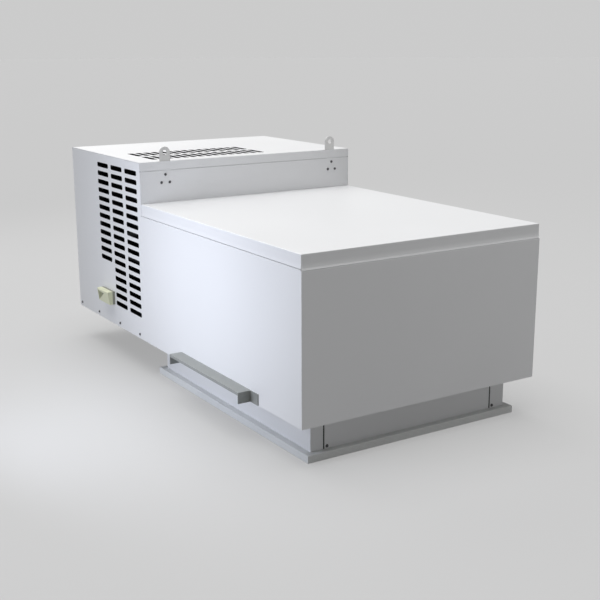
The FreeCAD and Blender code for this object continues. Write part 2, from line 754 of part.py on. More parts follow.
def plug_collar_front():
    """Middle skin of the plug's front face, between the two seams."""
    left, right = plug_seams()
    skin = block(left + PLUG_SEAM, right - PLUG_SEAM, -plug_half_length, -plug_half_length + SHEET,
                 -PLUG_DEPTH, 0)
    return skin.cut(plug_screw_holes())


def plug_screw_seats():
    """Front seats of the screws beside the two seams."""
    left, right = plug_seams()
    level = -PLUG_DEPTH + PLUG_SCREW_ABOVE_FLANGE
    return [(x, -plug_half_length, level) for x in
            (left + PLUG_SEAM + PLUG_SCREW_FROM_SEAM, right + PLUG_SCREW_FROM_SEAM)]


def plug_screw_holes():
    """Cutters for the holes of the plug's screws at its front and its rear."""
    holes = [screw_hole(seat, (0, 1, 0)) for seat in plug_screw_seats()]
    return holes + [front_to_rear(hole) for hole in holes]


def plug_screws():
    """Four screws beside the seams of the plug."""
    pieces = [screw(seat, (0, -1, 0)) for seat in plug_screw_seats()]
    return group(pieces + [front_to_rear(piece) for piece in pieces])


def plug_insulation():
    """Foam core of the plug, with the two air ducts and grooves behind the open seams."""
    side = plug_half_width - SHEET - JOINT
    end = plug_half_length - SHEET - JOINT
    core = block(-side, side, -end, end, -PLUG_DEPTH, 0)
    left, right = plug_seams()
    grooves = [block(x, x + PLUG_SEAM, -end, PLUG_SEAM_DEPTH - end, -PLUG_DEPTH, 0)
               for x in (left, right - PLUG_SEAM)]
    grooves += [front_to_rear(groove) for groove in grooves]
    return core.cut(duct_windows(-PLUG_DEPTH, 0, 0) + grooves + plug_screw_holes())


def duct_windows(low, high, margin):
    """Blocks that fill the two air openings of the plug, each widened by a margin."""
    side = duct_half_width + margin
    return [block(-side, side, duct_near - margin, duct_far + margin, low, high),
            block(-side, side, -duct_far - margin, -duct_near + margin, low, high)]


def plug_flange():
    """Flange frame under the plug, rebated from below for the two grilles."""
    side = plug_half_width + FLANGE_OVERHANG
    end = plug_half_length + FLANGE_OVERHANG
    frame = block(-side, side, -end, end, flange_bottom, -PLUG_DEPTH)
    rebate = flange_bottom + GRILLE_THICKNESS + JOINT
    return frame.cut(duct_windows(flange_bottom, -PLUG_DEPTH, 0)
                     + duct_windows(flange_bottom, rebate, FLANGE_REBATE))


def grille_frame(y0, y1):
    """Solid plate of a grille in one rebate of the flange, and the limits of its open area."""
    margin = FLANGE_REBATE - GRILLE_GAP
    side = duct_half_width + margin
    plate = block(-side, side, y0 - margin, y1 + margin, flange_bottom,
                  flange_bottom + GRILLE_THICKNESS)
    return plate, side - GRILLE_BORDER, y0 - margin + GRILLE_BORDER, y1 + margin - GRILLE_BORDER


def intake_grille():
    """Flat grille under the fans: rows of long openings on both sides of a middle rib."""
    plate, side, y0, y1 = grille_frame(-duct_far, -duct_near)
    count = int((y1 - y0 + GRILLE_BAR) / (GRILLE_OPENING + GRILLE_BAR))
    pitch = (y1 - y0 - GRILLE_OPENING) / (count - 1)
    cutters = []
    for row in range(count):
        y = y0 + row * pitch
        opening = block(GRILLE_RIB / 2, side, y, y + GRILLE_OPENING, flange_bottom, -PLUG_DEPTH)
        cutters += [opening, mirrored(opening)]
    return plate.cut(cutters)


def discharge_grille():
    """Outlet grille with slanted blades that throw the cold air away from the unit."""
    plate, side, y0, y1 = grille_frame(duct_near, duct_far)
    frame = plate.cut(block(-side, side, y0, y1, flange_bottom, -PLUG_DEPTH))
    lean = GRILLE_THICKNESS * math.tan(math.radians(BLADE_LEAN))
    width = BLADE_THICKNESS / math.cos(math.radians(BLADE_LEAN))
    count = int((y1 - y0 - lean) / BLADE_PITCH)
    pitch = (y1 - y0 - lean) / (count + 1)
    high = flange_bottom + GRILLE_THICKNESS
    blades = []
    for number in range(1, count + 1):
        y = y0 + number * pitch
        blades.append(prism([(-side, y, high), (-side, y + width, high),
                             (-side, y + width + lean, flange_bottom),
                             (-side, y + lean, flange_bottom)], (2 * side, 0, 0)))
    return joined(frame, *blades)


# Fans and their motors

def blade_outline(radius, chord, thickness):
    """Cambered section of a fan blade at one radius: three flats on each side."""
    pitch = math.radians(BLADE_PITCH_ANGLE)
    corners = []
    for side, stations in ((1, (-3, -1, 1, 3)), (-1, (3, 1, -1, -3))):
        for station in stations:
            along = chord * station / 6
            rise = chord * BLADE_CAMBER * (1 - (station / 3) ** 2) + side * thickness / 2
            corners.append(Vector(radius, along * math.cos(pitch) - rise * math.sin(pitch),
                                  along * math.sin(pitch) + rise * math.cos(pitch)))
    return corners


def fan_blade(radius, hub_radius):
    """Blade along X that widens from inside the hub to a tip rounded to the fan's radius."""
    root = blade_outline(hub_radius * BLADE_INNER_SHARE, radius * BLADE_ROOT_SHARE, BLADE_ROOT_THICKNESS)
    tip = blade_outline(radius, radius * BLADE_TIP_SHARE, BLADE_TIP_THICKNESS)
    return tapered(root, tip).common(rod((0, 0, -radius), (0, 0, 1), radius, 2 * radius))


def impeller(radius, hub_length):
    """Axial fan about Z, centred on the origin."""
    hub_radius = radius * FAN_HUB_SHARE
    blade = fan_blade(radius, hub_radius)
    pieces = [bar((0, 0, -hub_length / 2), (0, 0, 1), hub_radius, hub_length, HUB_FLATS)]
    for number in range(FAN_BLADES):
        copy = blade.copy()
        copy.rotate(Vector(0, 0, 0), Vector(0, 0, 1), number * 360 / FAN_BLADES)
        pieces.append(copy)
    return joined(*pieces)


def motor(size, length):
    """Square motor standing on z = 0, with a nose below it and a bore for the fan's shaft."""
    half = size / 2
    cut = half - MOTOR_CORNER
    body = prism([(-half, -cut, 0), (-cut, -half, 0), (cut, -half, 0), (half, -cut, 0),
                  (half, cut, 0), (cut, half, 0), (-cut, half, 0), (-half, cut, 0)], (0, 0, length))
    groove_low = length * MOTOR_GROOVE_SHARE
    groove_high = groove_low + MOTOR_GROOVE
    inset = half - MOTOR_GROOVE
    band = block(-half, half, -half, half, groove_low, groove_high)
    groove = band.cut(block(-inset, inset, -inset, inset, groove_low, groove_high))
    nose = bar((0, 0, -MOTOR_NOSE), (0, 0, 1), MOTOR_NOSE_RADIUS, MOTOR_NOSE, HOLE_FLATS)
    bore = rod((0, 0, -MOTOR_NOSE), (0, 0, 1), SHAFT_RADIUS + SHAFT_CLEARANCE,
               MOTOR_NOSE + SHAFT_IN_MOTOR + JOINT)
    return joined(body.cut(groove), nose).cut(bore)


def strap(half_span, height):
    """Bridge strap about the origin: a bar under z = 0 on two legs with turned-out feet."""
    half = STRAP_WIDTH / 2
    beam = block(-half, half, -half_span, half_span, -STRAP_SHEET, 0)
    leg = block(-half, half, half_span - STRAP_SHEET, half_span, -height, 0)
    foot = block(-half, half, half_span, half_span + STRAP_FOOT, -height, -height + STRAP_SHEET)
    hole = bar((0, 0, -STRAP_SHEET), (0, 0, 1), MOTOR_NOSE_RADIUS + JOINT, STRAP_SHEET, HOLE_FLATS)
    return joined(beam, leg, foot, front_to_rear(leg), front_to_rear(foot)).cut(hole)


def fan_deck():
    """Sheet over the intake with a bell-mouth ring for each fan."""
    deck = block(-cavity_side + JOINT, cavity_side - JOINT, cavity_front + JOINT, -JOINT,
                 cavity_floor, cavity_floor + FAN_DECK)
    ring = bar((fan_x, fan_y, cavity_floor), (0, 0, 1), fan_ring_inner + FAN_RING_WALL,
               FAN_RING_HEIGHT, RING_FLATS)
    hole = bar((fan_x, fan_y, cavity_floor), (0, 0, 1), fan_ring_inner, FAN_RING_HEIGHT, RING_FLATS)
    return joined(deck, ring, mirrored(ring)).cut([hole, mirrored(hole)])


def strap_level():
    """Top face of the straps that carry the evaporator motors."""
    return cavity_floor + FAN_DECK + STRAP_HEIGHT


def evaporator_fan(x):
    """Fan over the intake with its shaft, which runs up into the motor."""
    level = cavity_floor + FAN_LIFT + FAN_HUB_HEIGHT / 2
    wheel = impeller(fan_radius, FAN_HUB_HEIGHT)
    wheel.translate(Vector(x, fan_y, level))
    return joined(wheel, rod((x, fan_y, level), (0, 0, 1), SHAFT_RADIUS,
                             strap_level() + SHAFT_IN_MOTOR - level))


def evaporator_motor(x):
    """Motor of one evaporator fan, standing on its strap."""
    body = motor(MOTOR_SIZE, MOTOR_LENGTH)
    body.translate(Vector(x, fan_y, strap_level()))
    return body


def evaporator_motor_straps():
    """Two straps that stand on the fan deck and carry the motors over the rings."""
    right = strap(fan_ring_inner + FAN_RING_WALL + STRAP_FROM_RING, STRAP_HEIGHT)
    right.translate(Vector(fan_x, fan_y, strap_level()))
    return group([right, mirrored(right)])


# Evaporator section

def insulation_box():
    """Foam housing of the evaporator, open at the top, with the plug's air openings in its floor."""
    outer = block(-foam_side, foam_side, foam_front, foam_rear, BASE_SHEET, foam_top)
    hollow = block(-cavity_side, cavity_side, cavity_front, cavity_rear, cavity_floor, foam_top)
    ledge = block(-inside, inside, foam_rear - SHEET - JOINT, foam_rear,
                  seam - SEAT_FLANGE - JOINT, foam_top)
    return outer.cut([hollow, ledge] + duct_windows(BASE_SHEET, cavity_floor, 0) + wall_passages())


def fin_level():
    """Lower edge of the evaporator's fins, above its tray."""
    return cavity_floor + TRAY_SHEET + COIL_FIN_LIFT


def evaporator_fins():
    """Fin pack of the evaporator, slit from the front and the rear."""
    pack = block(coil_left, coil_right, COIL_FRONT, COIL_FRONT + COIL_DEPTH, fin_level(), coil_top)
    width = coil_right - coil_left
    count = int((width - COIL_FIN_PITCH + COIL_FIN_SLIT) / COIL_FIN_PITCH)
    margin = (width - (count - 1) * COIL_FIN_PITCH - COIL_FIN_SLIT) / 2
    rear_slit = COIL_FRONT + COIL_DEPTH - COIL_SLIT_DEPTH
    slits = []
    for number in range(count):
        x = coil_left + margin + number * COIL_FIN_PITCH
        for y in (COIL_FRONT, rear_slit):
            slits.append(block(x, x + COIL_FIN_SLIT, y, y + COIL_SLIT_DEPTH, fin_level(), coil_top))
    return pack.cut(slits)


def evaporator_end_plates():
    """Two flat plates at the ends of the coil, standing in the tray."""
    return group([block(x, x + COIL_PLATE, COIL_FRONT, COIL_FRONT + COIL_DEPTH,
                        cavity_floor + TRAY_SHEET, coil_top)
                  for x in (coil_left - COIL_PLATE, coil_right)])


def evaporator_header():
    """Upright header with stubs into the coil's end plate, and the inlet block beside it."""
    low = fin_level() + EVAPORATOR_HEADER_END
    high = coil_top - EVAPORATOR_HEADER_END
    header = bar((header_x, coil_y, low), (0, 0, 1), EVAPORATOR_HEADER_RADIUS, high - low, PIPE_FLATS)
    reach = coil_left - COIL_PLATE - header_x
    stubs = []
    for number in range(EVAPORATOR_STUBS):
        z = low + (number + 0.5) * (high - low) / EVAPORATOR_STUBS
        stubs.append(bar((header_x, coil_y, z), (1, 0, 0), EVAPORATOR_STUB_RADIUS, reach, PIPE_FLATS))
    half = DISTRIBUTOR / 2
    inlet = block(expansion_x - half, expansion_x + half, coil_y - half, coil_y + half,
                  EXPANSION_LEVEL - half, EXPANSION_LEVEL + half)
    return group([joined(header, *stubs), inlet])


def drip_tray():
    """Tray under the coil that catches melt water, with an outlet for the drain pipe."""
    y1 = JOINT + TRAY_DEPTH
    high = cavity_floor + TRAY_HEIGHT
    outer = block(-tray_side, tray_side, JOINT, y1, cavity_floor, high)
    inner = block(-tray_side + TRAY_SHEET, tray_side - TRAY_SHEET, JOINT + TRAY_SHEET,
                  y1 - TRAY_SHEET, cavity_floor + TRAY_SHEET, high)
    outlet = bar((drain_x, y1 - TRAY_SHEET, drain_level), (0, 1, 0), DRAIN_RADIUS - TRAY_SHEET,
                 TRAY_SHEET, HOLE_FLATS)
    return outer.cut([inner, outlet])


def drain_pipe():
    """Straight pipe from the tray through both walls to a hose spigot behind the rear panel."""
    start = (drain_x, JOINT + TRAY_DEPTH, drain_level)
    length = rear + DRAIN_SPIGOT - start[1]
    spigot = rod((drain_x, rear + JOINT, drain_level), (0, 1, 0), DRAIN_SPIGOT_RADIUS,
                 DRAIN_SPIGOT - JOINT)
    bore = bar(start, (0, 1, 0), DRAIN_RADIUS - TRAY_SHEET, length, PIPE_FLATS)
    return joined(bar(start, (0, 1, 0), DRAIN_RADIUS, length, PIPE_FLATS), spigot).cut(bore)


def defrost_heater():
    """Heating rod under the fins, held between the coil's end plates."""
    z = cavity_floor + TRAY_SHEET + COIL_FIN_LIFT / 2
    return bar((coil_left + JOINT, coil_y, z), (1, 0, 0), HEATER_RADIUS,
               coil_right - coil_left - 2 * JOINT, PIPE_FLATS)


# Compressor

def compressor_shell():
    """Welded steel shell of the compressor on its foot plate, hollow round its pump."""
    x, y, z = compressor_x, compressor_y, compressor_foot
    wall = COMPRESSOR_WALL
    shoulder = COMPRESSOR_HEIGHT - COMPRESSOR_SHOULDER
    crown = compressor_radius - COMPRESSOR_SHOULDER
    can = joined(bar((x, y, z), (0, 0, 1), compressor_radius, shoulder, CAN_FLATS),
                 tapered(corner_ring((x, y, z + shoulder), (0, 0, 1), compressor_radius, CAN_FLATS),
                         corner_ring((x, y, z + COMPRESSOR_HEIGHT), (0, 0, 1), crown, CAN_FLATS)))
    lower = bar((x, y, z + wall), (0, 0, 1), compressor_radius - wall, shoulder - wall, CAN_FLATS // 2)
    upper = bar((x, y, z + wall), (0, 0, 1), crown, COMPRESSOR_HEIGHT - 2 * wall, CAN_FLATS // 2)
    can = can.cut([lower, upper])
    half = compressor_radius * FOOT_SHARE + FOOT_RADIUS + FOOT_PLATE
    cut = half - FOOT_RADIUS
    level = z - FOOT_PLATE
    outline = [(-half, -cut), (-cut, -half), (cut, -half), (half, -cut),
               (half, cut), (cut, half), (-cut, half), (-half, cut)]
    plate = prism([(x + across, y + along, level) for across, along in outline], (0, 0, FOOT_PLATE))
    holes = [bar((at_x, at_y, level), (0, 0, 1), FOOT_BOLT_RADIUS + FOOT_BOLT_GAP, FOOT_PLATE,
                 SCREW_FLATS) for at_x, at_y in foot_places()]
    return joined(can, plate.cut(holes))


def compressor_pump():
    """Motor and pump block inside the shell."""
    return bar((compressor_x, compressor_y, compressor_foot + COMPRESSOR_WALL), (0, 0, 1),
               compressor_radius - COMPRESSOR_SHOULDER - PUMP_GAP, PUMP_HEIGHT, HOLE_FLATS)


def foot_places():
    """The four feet of the compressor."""
    spread = compressor_radius * FOOT_SHARE
    return [(compressor_x + x, compressor_y + y) for x in (-spread, spread) for y in (-spread, spread)]


def compressor_grommets():
    """Rubber feet between the base pan and the foot plate."""
    return group([bar((x, y, BASE_SHEET), (0, 0, 1), FOOT_RADIUS, FOOT_HEIGHT, HOLE_FLATS).cut(
        bar((x, y, BASE_SHEET), (0, 0, 1), FOOT_BOLT_RADIUS + FOOT_BOLT_GAP, FOOT_HEIGHT, SCREW_FLATS))
        for x, y in foot_places()])


def compressor_bolts():
    """Hexagon bolts through the foot plate and the rubber feet down to the base pan."""
    length = FOOT_HEIGHT + FOOT_PLATE
    return group([joined(bar((x, y, compressor_foot), (0, 0, 1), FOOT_BOLT_HEAD_RADIUS,
                             FOOT_BOLT_HEAD, SCREW_FLATS),
                         bar((x, y, BASE_SHEET), (0, 0, 1), FOOT_BOLT_RADIUS, length, SCREW_FLATS))
                  for x, y in foot_places()])


def compressor_terminal_cover():
    """Plastic cover over the compressor's terminals, on the side towards the electrical box."""
    half = TERMINAL_WIDTH / 2
    edge = compressor_x + compressor_radius
    z = compressor_foot + TERMINAL_LEVEL
    cover = block(edge - TERMINAL_REACH, edge + TERMINAL_REACH, compressor_y - half,
                  compressor_y + half, z, z + TERMINAL_HEIGHT)
    return cover.cut(bar((compressor_x, compressor_y, z), (0, 0, 1),
                         compressor_radius + JOINT, TERMINAL_HEIGHT, CAN_FLATS))


# Refrigerant lines

def suction_line():
    """Pipe from the evaporator's header through the bulkhead to the compressor's left side."""
    start = coil_y + EVAPORATOR_HEADER_RADIUS * math.cos(math.pi / PIPE_FLATS)
    port = compressor_foot + SUCTION_PORT_LEVEL
    return pipe([(header_x, start, suction_level), (header_x, compressor_y, suction_level),
                 (header_x, compressor_y, port), (compressor_x - compressor_radius, compressor_y, port)],
                SUCTION_RADIUS)


def discharge_line():
    """Pipe from the rear of the compressor to the condenser's left header."""
    y0 = compressor_y + compressor_radius
    y1 = (y0 + pipe_run_y) / 2
    level = compressor_foot + DISCHARGE_LEVEL
    x = -condenser_header_x
    return pipe([(compressor_x, y0, level), (compressor_x, y1, level), (x, y1, level),
                 (x, condenser_middle - CONDENSER_HEADER_RADIUS, level)], DISCHARGE_RADIUS)


def liquid_line():
    """Pipe from the condenser's right header to the filter drier."""
    x = condenser_header_x
    return pipe([(x, condenser_middle - CONDENSER_HEADER_RADIUS, drier_level),
                 (x, pipe_run_y, drier_level),
                 (DRIER_X + DRIER_LENGTH / 2, pipe_run_y, drier_level)], LIQUID_RADIUS)


def filter_drier():
    """Copper filter drier in the liquid line, stepped down to the pipe at both ends."""
    half = DRIER_LENGTH / 2
    pieces = []
    for reach, radius in ((half, LIQUID_RADIUS), (half - DRIER_NECK, DRIER_RADIUS - DRIER_NECK / 2),
                          (half - 2 * DRIER_NECK, DRIER_RADIUS)):
        pieces.append(bar((DRIER_X - reach, pipe_run_y, drier_level), (1, 0, 0), radius, 2 * reach,
                          PIPE_FLATS))
    return joined(*pieces)


def expansion_line():
    """Pipe from the filter drier through the bulkhead to the evaporator's inlet block."""
    return pipe([(DRIER_X - DRIER_LENGTH / 2, pipe_run_y, drier_level),
                 (expansion_x, pipe_run_y, drier_level), (expansion_x, pipe_run_y, EXPANSION_LEVEL),
                 (expansion_x, coil_y + DISTRIBUTOR / 2, EXPANSION_LEVEL)], LIQUID_RADIUS)


# Condenser

def condenser_core():
    """Flat tubes of the condenser, one above another, between two upright headers."""
    pieces = []
    for number in range(condenser_rows + 1):
        z = CONDENSER_BASE + number * CONDENSER_TUBE_PITCH
        pieces.append(block(-condenser_side, condenser_side, condenser_front,
                            condenser_front + CONDENSER_DEPTH, z, z + CONDENSER_TUBE))
    for x in (-condenser_header_x, condenser_header_x):
        pieces.append(bar((x, condenser_middle, CONDENSER_BASE), (0, 0, 1), CONDENSER_HEADER_RADIUS,
                          condenser_top - CONDENSER_BASE, HUB_FLATS))
    return group(pieces)


def condenser_fins():
    """Folded fin strips that fill the gaps between the flat tubes."""
    inset = CONDENSER_TUBE / 2
    strips = []
    for number in range(condenser_rows):
        z = CONDENSER_BASE + number * CONDENSER_TUBE_PITCH + CONDENSER_TUBE
        strips.append(block(-condenser_side, condenser_side, condenser_front + inset,
                            condenser_front + CONDENSER_DEPTH - inset,
                            z, z + CONDENSER_TUBE_PITCH - CONDENSER_TUBE))
    return group(strips)


def condenser_stand():
    """Channel that carries the coil and the shroud above the base pan."""
    half = condenser_header_x - CONDENSER_HEADER_RADIUS / 2
    wall = CONDENSER_STAND_SHEET
    y0 = condenser_front - 3 * wall
    y1 = condenser_front + CONDENSER_DEPTH + 2 * wall
    channel = block(-half, half, y0, y1, BASE_SHEET, CONDENSER_BASE)
    return channel.cut(block(-half, half, y0 + wall, y1 - wall, BASE_SHEET, CONDENSER_BASE - wall))


def condenser_shroud():
    """Shallow box in front of the coil with a ring round the fan."""
    half = condenser_side - JOINT
    wall = SHROUD_SHEET
    back = condenser_front - JOINT
    box = block(-half, half, shroud_front, back, CONDENSER_BASE, condenser_top)
    hollow = block(-half + wall, half - wall, shroud_front + wall, back,
                   CONDENSER_BASE + wall, condenser_top - wall)
    inner = condenser_fan_radius + CONDENSER_FAN_GAP
    start = (0, shroud_front - SHROUD_RING, condenser_axis)
    ring = bar(start, (0, 1, 0), inner + wall, SHROUD_RING + wall, RING_FLATS)
    hole = bar(start, (0, 1, 0), inner, SHROUD_RING + wall, RING_FLATS)
    return joined(box.cut(hollow), ring).cut(hole)


def turned_forward(shape, y):
    """Shape built about Z, its upper side turned to the front, on the condenser fan's axis."""
    shape.rotate(Vector(0, 0, 0), Vector(1, 0, 0), 90)
    shape.translate(Vector(0, y, condenser_axis))
    return shape


def condenser_motor_strap():
    """Strap across the shroud's ring that carries the condenser fan's motor."""
    span = condenser_fan_radius + CONDENSER_FAN_GAP + SHROUD_SHEET + STRAP_FROM_RING
    piece = strap(span, shroud_front - strap_front)
    piece.rotate(Vector(0, 0, 0), Vector(0, 0, 1), 90)
    return turned_forward(piece, strap_front)


def condenser_motor():
    """Motor of the condenser fan, in front of its strap."""
    return turned_forward(motor(CONDENSER_MOTOR_SIZE, CONDENSER_MOTOR_LENGTH), strap_front)


def condenser_fan():
    """Large fan in the shroud's ring with its shaft, which runs forward into the motor."""
    middle = shroud_front - SHROUD_RING / 2
    wheel = turned_forward(impeller(condenser_fan_radius, CONDENSER_HUB_LENGTH), middle)
    return joined(wheel, rod((0, middle, condenser_axis), (0, -1, 0), SHAFT_RADIUS,
                             middle - strap_front + SHAFT_IN_MOTOR))


# Electrical box

def electrical_limits():
    """Left, right, front, rear, lower and upper faces of the electrical box."""
    return (half_width - ELECTRICAL_FROM_SIDE, inside - ELECTRICAL_SIDE_GAP, tall_front,
            step + bay - ELECTRICAL_REAR_GAP, ELECTRICAL_BOTTOM, eye_foot_level() - ELECTRICAL_BELOW_EYE)


def electrical_box():
    """Sheet box for the controls on the rear of the bulkhead, open to the rear."""
    x0, x1, y0, y1, z0, z1 = electrical_limits()
    return block(x0, x1, y0, y1, z0, z1).cut(
        block(x0 + SHEET, x1 - SHEET, y0 + SHEET, y1, z0 + SHEET, z1 - SHEET))


def electrical_box_cover():
    """Cover that closes the electrical box with a skirt round its walls."""
    x0, x1, y0, y1, z0, z1 = electrical_limits()
    gap = SHEET + JOINT
    shell = block(x0 - gap, x1 + gap, y1 - ELECTRICAL_LID, y1 + SHEET, z0 - gap, z1 + gap)
    return shell.cut(block(x0 - JOINT, x1 + JOINT, y1 - ELECTRICAL_LID, y1, z0 - JOINT, z1 + JOINT))


eye_left, eye_right = eye_places()
screws_left, screws_right = eye_screw_middles()

PARTS = {
    "base_pan": base_pan(),
    "side_panel_left": side_panel_left(),
    "side_panel_right": side_panel_right(),
    "front_panel": front_panel(),
    "bulkhead_panel": bulkhead_panel(),
    "lid_rail": lid_rail(),
    "rear_panel": rear_panel(),
    "condenser_top_cover": condenser_top_cover(),
    "evaporator_lid": evaporator_lid(),
    "lid_gasket": lid_gasket(),
    "lid_insulation": lid_insulation(),
    "lifting_eye_left": lifting_eye(eye_left, screws_left),
    "lifting_eye_right": lifting_eye(eye_right, screws_right),
    "lifting_eye_screws": lifting_eye_screws(),
    "base_screws": base_screws(),
    "grip_rail_left": grip_rail(),
    "grip_rail_right": mirrored(grip_rail()),
    "cable_entry_base": cable_entry_base(),
    "cable_entry_cover": cable_entry_cover(),
    "plug_collar_left": plug_collar_left(),
    "plug_collar_right": plug_collar_right(),
    "plug_collar_front": plug_collar_front(),
    "plug_collar_rear": front_to_rear(plug_collar_front()),
    "plug_screws": plug_screws(),
    "plug_insulation": plug_insulation(),
    "plug_flange": plug_flange(),
    "intake_grille": intake_grille(),
    "discharge_grille": discharge_grille(),
    "fan_deck": fan_deck(),
    "evaporator_fan_left": evaporator_fan(-fan_x),
    "evaporator_fan_right": evaporator_fan(fan_x),
    "evaporator_motor_left": evaporator_motor(-fan_x),
    "evaporator_motor_right": evaporator_motor(fan_x),
    "evaporator_motor_straps": evaporator_motor_straps(),
    "insulation_box": insulation_box(),
    "evaporator_fins": evaporator_fins(),
    "evaporator_end_plates": evaporator_end_plates(),
    "evaporator_header": evaporator_header(),
    "drip_tray": drip_tray(),
    "drain_pipe": drain_pipe(),
    "defrost_heater": defrost_heater(),
    "compressor_shell": compressor_shell(),
    "compressor_pump": compressor_pump(),
    "compressor_grommets": compressor_grommets(),
    "compressor_bolts": compressor_bolts(),
    "compressor_terminal_cover": compressor_terminal_cover(),
    "suction_line": suction_line(),
    "discharge_line": discharge_line(),
    "liquid_line": liquid_line(),
    "filter_drier": filter_drier(),
    "expansion_line": expansion_line(),
    "condenser_core": condenser_core(),
    "condenser_fins": condenser_fins(),
    "condenser_stand": condenser_stand(),
    "condenser_shroud": condenser_shroud(),
    "condenser_fan": condenser_fan(),
    "condenser_motor": condenser_motor(),
    "condenser_motor_strap": condenser_motor_strap(),
    "electrical_box": electrical_box(),
    "electrical_box_cover": electrical_box_cover(),
}

for node, shape in PARTS.items():
    shape.exportStep("parts/" + node + ".step")
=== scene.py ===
import math

import bmesh
import bpy
from mathutils import Matrix, Vector


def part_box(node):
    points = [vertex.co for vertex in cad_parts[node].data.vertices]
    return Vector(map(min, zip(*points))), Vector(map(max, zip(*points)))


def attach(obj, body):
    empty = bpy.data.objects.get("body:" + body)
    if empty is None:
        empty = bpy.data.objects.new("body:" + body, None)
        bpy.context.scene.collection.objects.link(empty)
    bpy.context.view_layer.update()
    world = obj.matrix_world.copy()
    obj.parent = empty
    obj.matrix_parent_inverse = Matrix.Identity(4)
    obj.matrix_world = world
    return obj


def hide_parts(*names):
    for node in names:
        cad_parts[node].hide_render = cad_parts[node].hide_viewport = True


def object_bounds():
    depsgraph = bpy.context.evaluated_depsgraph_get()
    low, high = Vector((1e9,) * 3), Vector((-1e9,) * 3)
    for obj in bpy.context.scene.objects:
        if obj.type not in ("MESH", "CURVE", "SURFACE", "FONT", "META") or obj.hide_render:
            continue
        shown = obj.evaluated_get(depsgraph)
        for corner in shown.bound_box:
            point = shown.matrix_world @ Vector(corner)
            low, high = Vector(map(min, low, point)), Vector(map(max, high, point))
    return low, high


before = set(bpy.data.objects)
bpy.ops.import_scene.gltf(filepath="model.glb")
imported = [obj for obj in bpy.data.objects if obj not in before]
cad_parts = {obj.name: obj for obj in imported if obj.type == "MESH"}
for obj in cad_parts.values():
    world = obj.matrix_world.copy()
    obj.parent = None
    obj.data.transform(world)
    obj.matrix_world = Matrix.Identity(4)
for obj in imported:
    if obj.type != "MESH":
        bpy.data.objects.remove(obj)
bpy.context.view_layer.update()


# Base pan
# The floor of the unit: one tray of galvanised steel 2 mm thick, its edges turned up, matt
# grey-green with faint crystals. Black painted shade darkens it and every face inside the machine
# room.

def new_group(name, inputs, outputs):
    """Empty node group with named number inputs and outputs."""
    group = bpy.data.node_groups.new(name, "ShaderNodeTree")
    for socket, start in inputs.items():
        way = group.interface.new_socket(socket, in_out="INPUT", socket_type="NodeSocketFloat")
        way.default_value = start
    for socket in outputs:
        group.interface.new_socket(socket, in_out="OUTPUT", socket_type="NodeSocketFloat")
    way_in = group.nodes.new("NodeGroupInput")
    way_out = group.nodes.new("NodeGroupOutput")
    where = group.nodes.new("ShaderNodeTexCoord").outputs["Object"]
    return group, way_in, way_out, where


def cloud_group():
    """Soft patches, such as uneven gloss, and a fine grain for the relief of a coat."""
    group, way_in, way_out, where = new_group(
        "coat_clouds", {"Patch Scale": 8.0, "Grain Scale": 600.0}, ("Patches", "Grain"))
    for scale, result, detail in (("Patch Scale", "Patches", 4.0), ("Grain Scale", "Grain", 1.0)):
        noise = group.nodes.new("ShaderNodeTexNoise")
        noise.inputs["Detail"].default_value = detail
        group.links.new(where, noise.inputs["Vector"])
        group.links.new(way_in.outputs[scale], noise.inputs["Scale"])
        group.links.new(noise.outputs["Fac"], way_out.inputs[result])
    return group


def crystal_group():
    """Flat cells of different tone, as zinc crystals or foam beads make them, and their relief."""
    group, way_in, way_out, where = new_group(
        "crystal_cells", {"Patch Scale": 90.0, "Grain Scale": 500.0}, ("Patches", "Grain"))
    cells = group.nodes.new("ShaderNodeTexVoronoi")
    parts = group.nodes.new("ShaderNodeSeparateColor")
    grain = group.nodes.new("ShaderNodeTexVoronoi")
    group.links.new(where, cells.inputs["Vector"])
    group.links.new(where, grain.inputs["Vector"])
    group.links.new(way_in.outputs["Patch Scale"], cells.inputs["Scale"])
    group.links.new(way_in.outputs["Grain Scale"], grain.inputs["Scale"])
    group.links.new(cells.outputs["Color"], parts.inputs["Color"])
    group.links.new(parts.outputs["Red"], way_out.inputs["Patches"])
    group.links.new(grain.outputs["Distance"], way_out.inputs["Grain"])
    return group


coat_clouds = cloud_group()
crystal_cells = crystal_group()


def finish(name, light, dark, gloss, matt, effect=coat_clouds, metallic=0.0, coat=0.0,
           patch_scale=8.0, grain_scale=600.0, relief=0.00003):
    """Material of the record's slot: two tones and two roughnesses, mixed by the patches."""
    material = bpy.data.materials.new("finished_" + name)
    material["slot"] = name
    material.use_nodes = True
    nodes = material.node_tree.nodes
    links = material.node_tree.links
    shader = nodes["Principled BSDF"]
    shader.inputs["Metallic"].default_value = metallic
    shader.inputs["Coat Weight"].default_value = coat
    shader.inputs["Coat Roughness"].default_value = 0.25
    pattern = nodes.new("ShaderNodeGroup")
    pattern.node_tree = effect
    pattern.inputs["Patch Scale"].default_value = patch_scale
    pattern.inputs["Grain Scale"].default_value = grain_scale
    tone = nodes.new("ShaderNodeMix")
    tone.data_type = "RGBA"
    tone.inputs["A"].default_value = (*dark, 1)
    tone.inputs["B"].default_value = (*light, 1)
    links.new(pattern.outputs["Patches"], tone.inputs["Factor"])
    links.new(tone.outputs["Result"], shader.inputs["Base Color"])
    rough = nodes.new("ShaderNodeMapRange")
    rough.inputs["To Min"].default_value = gloss
    rough.inputs["To Max"].default_value = matt
    links.new(pattern.outputs["Patches"], rough.inputs["Value"])
    links.new(rough.outputs["Result"], shader.inputs["Roughness"])
    bump = nodes.new("ShaderNodeBump")
    bump.inputs["Distance"].default_value = relief
    links.new(pattern.outputs["Grain"], bump.inputs["Height"])
    links.new(bump.outputs["Normal"], shader.inputs["Normal"])
    return material


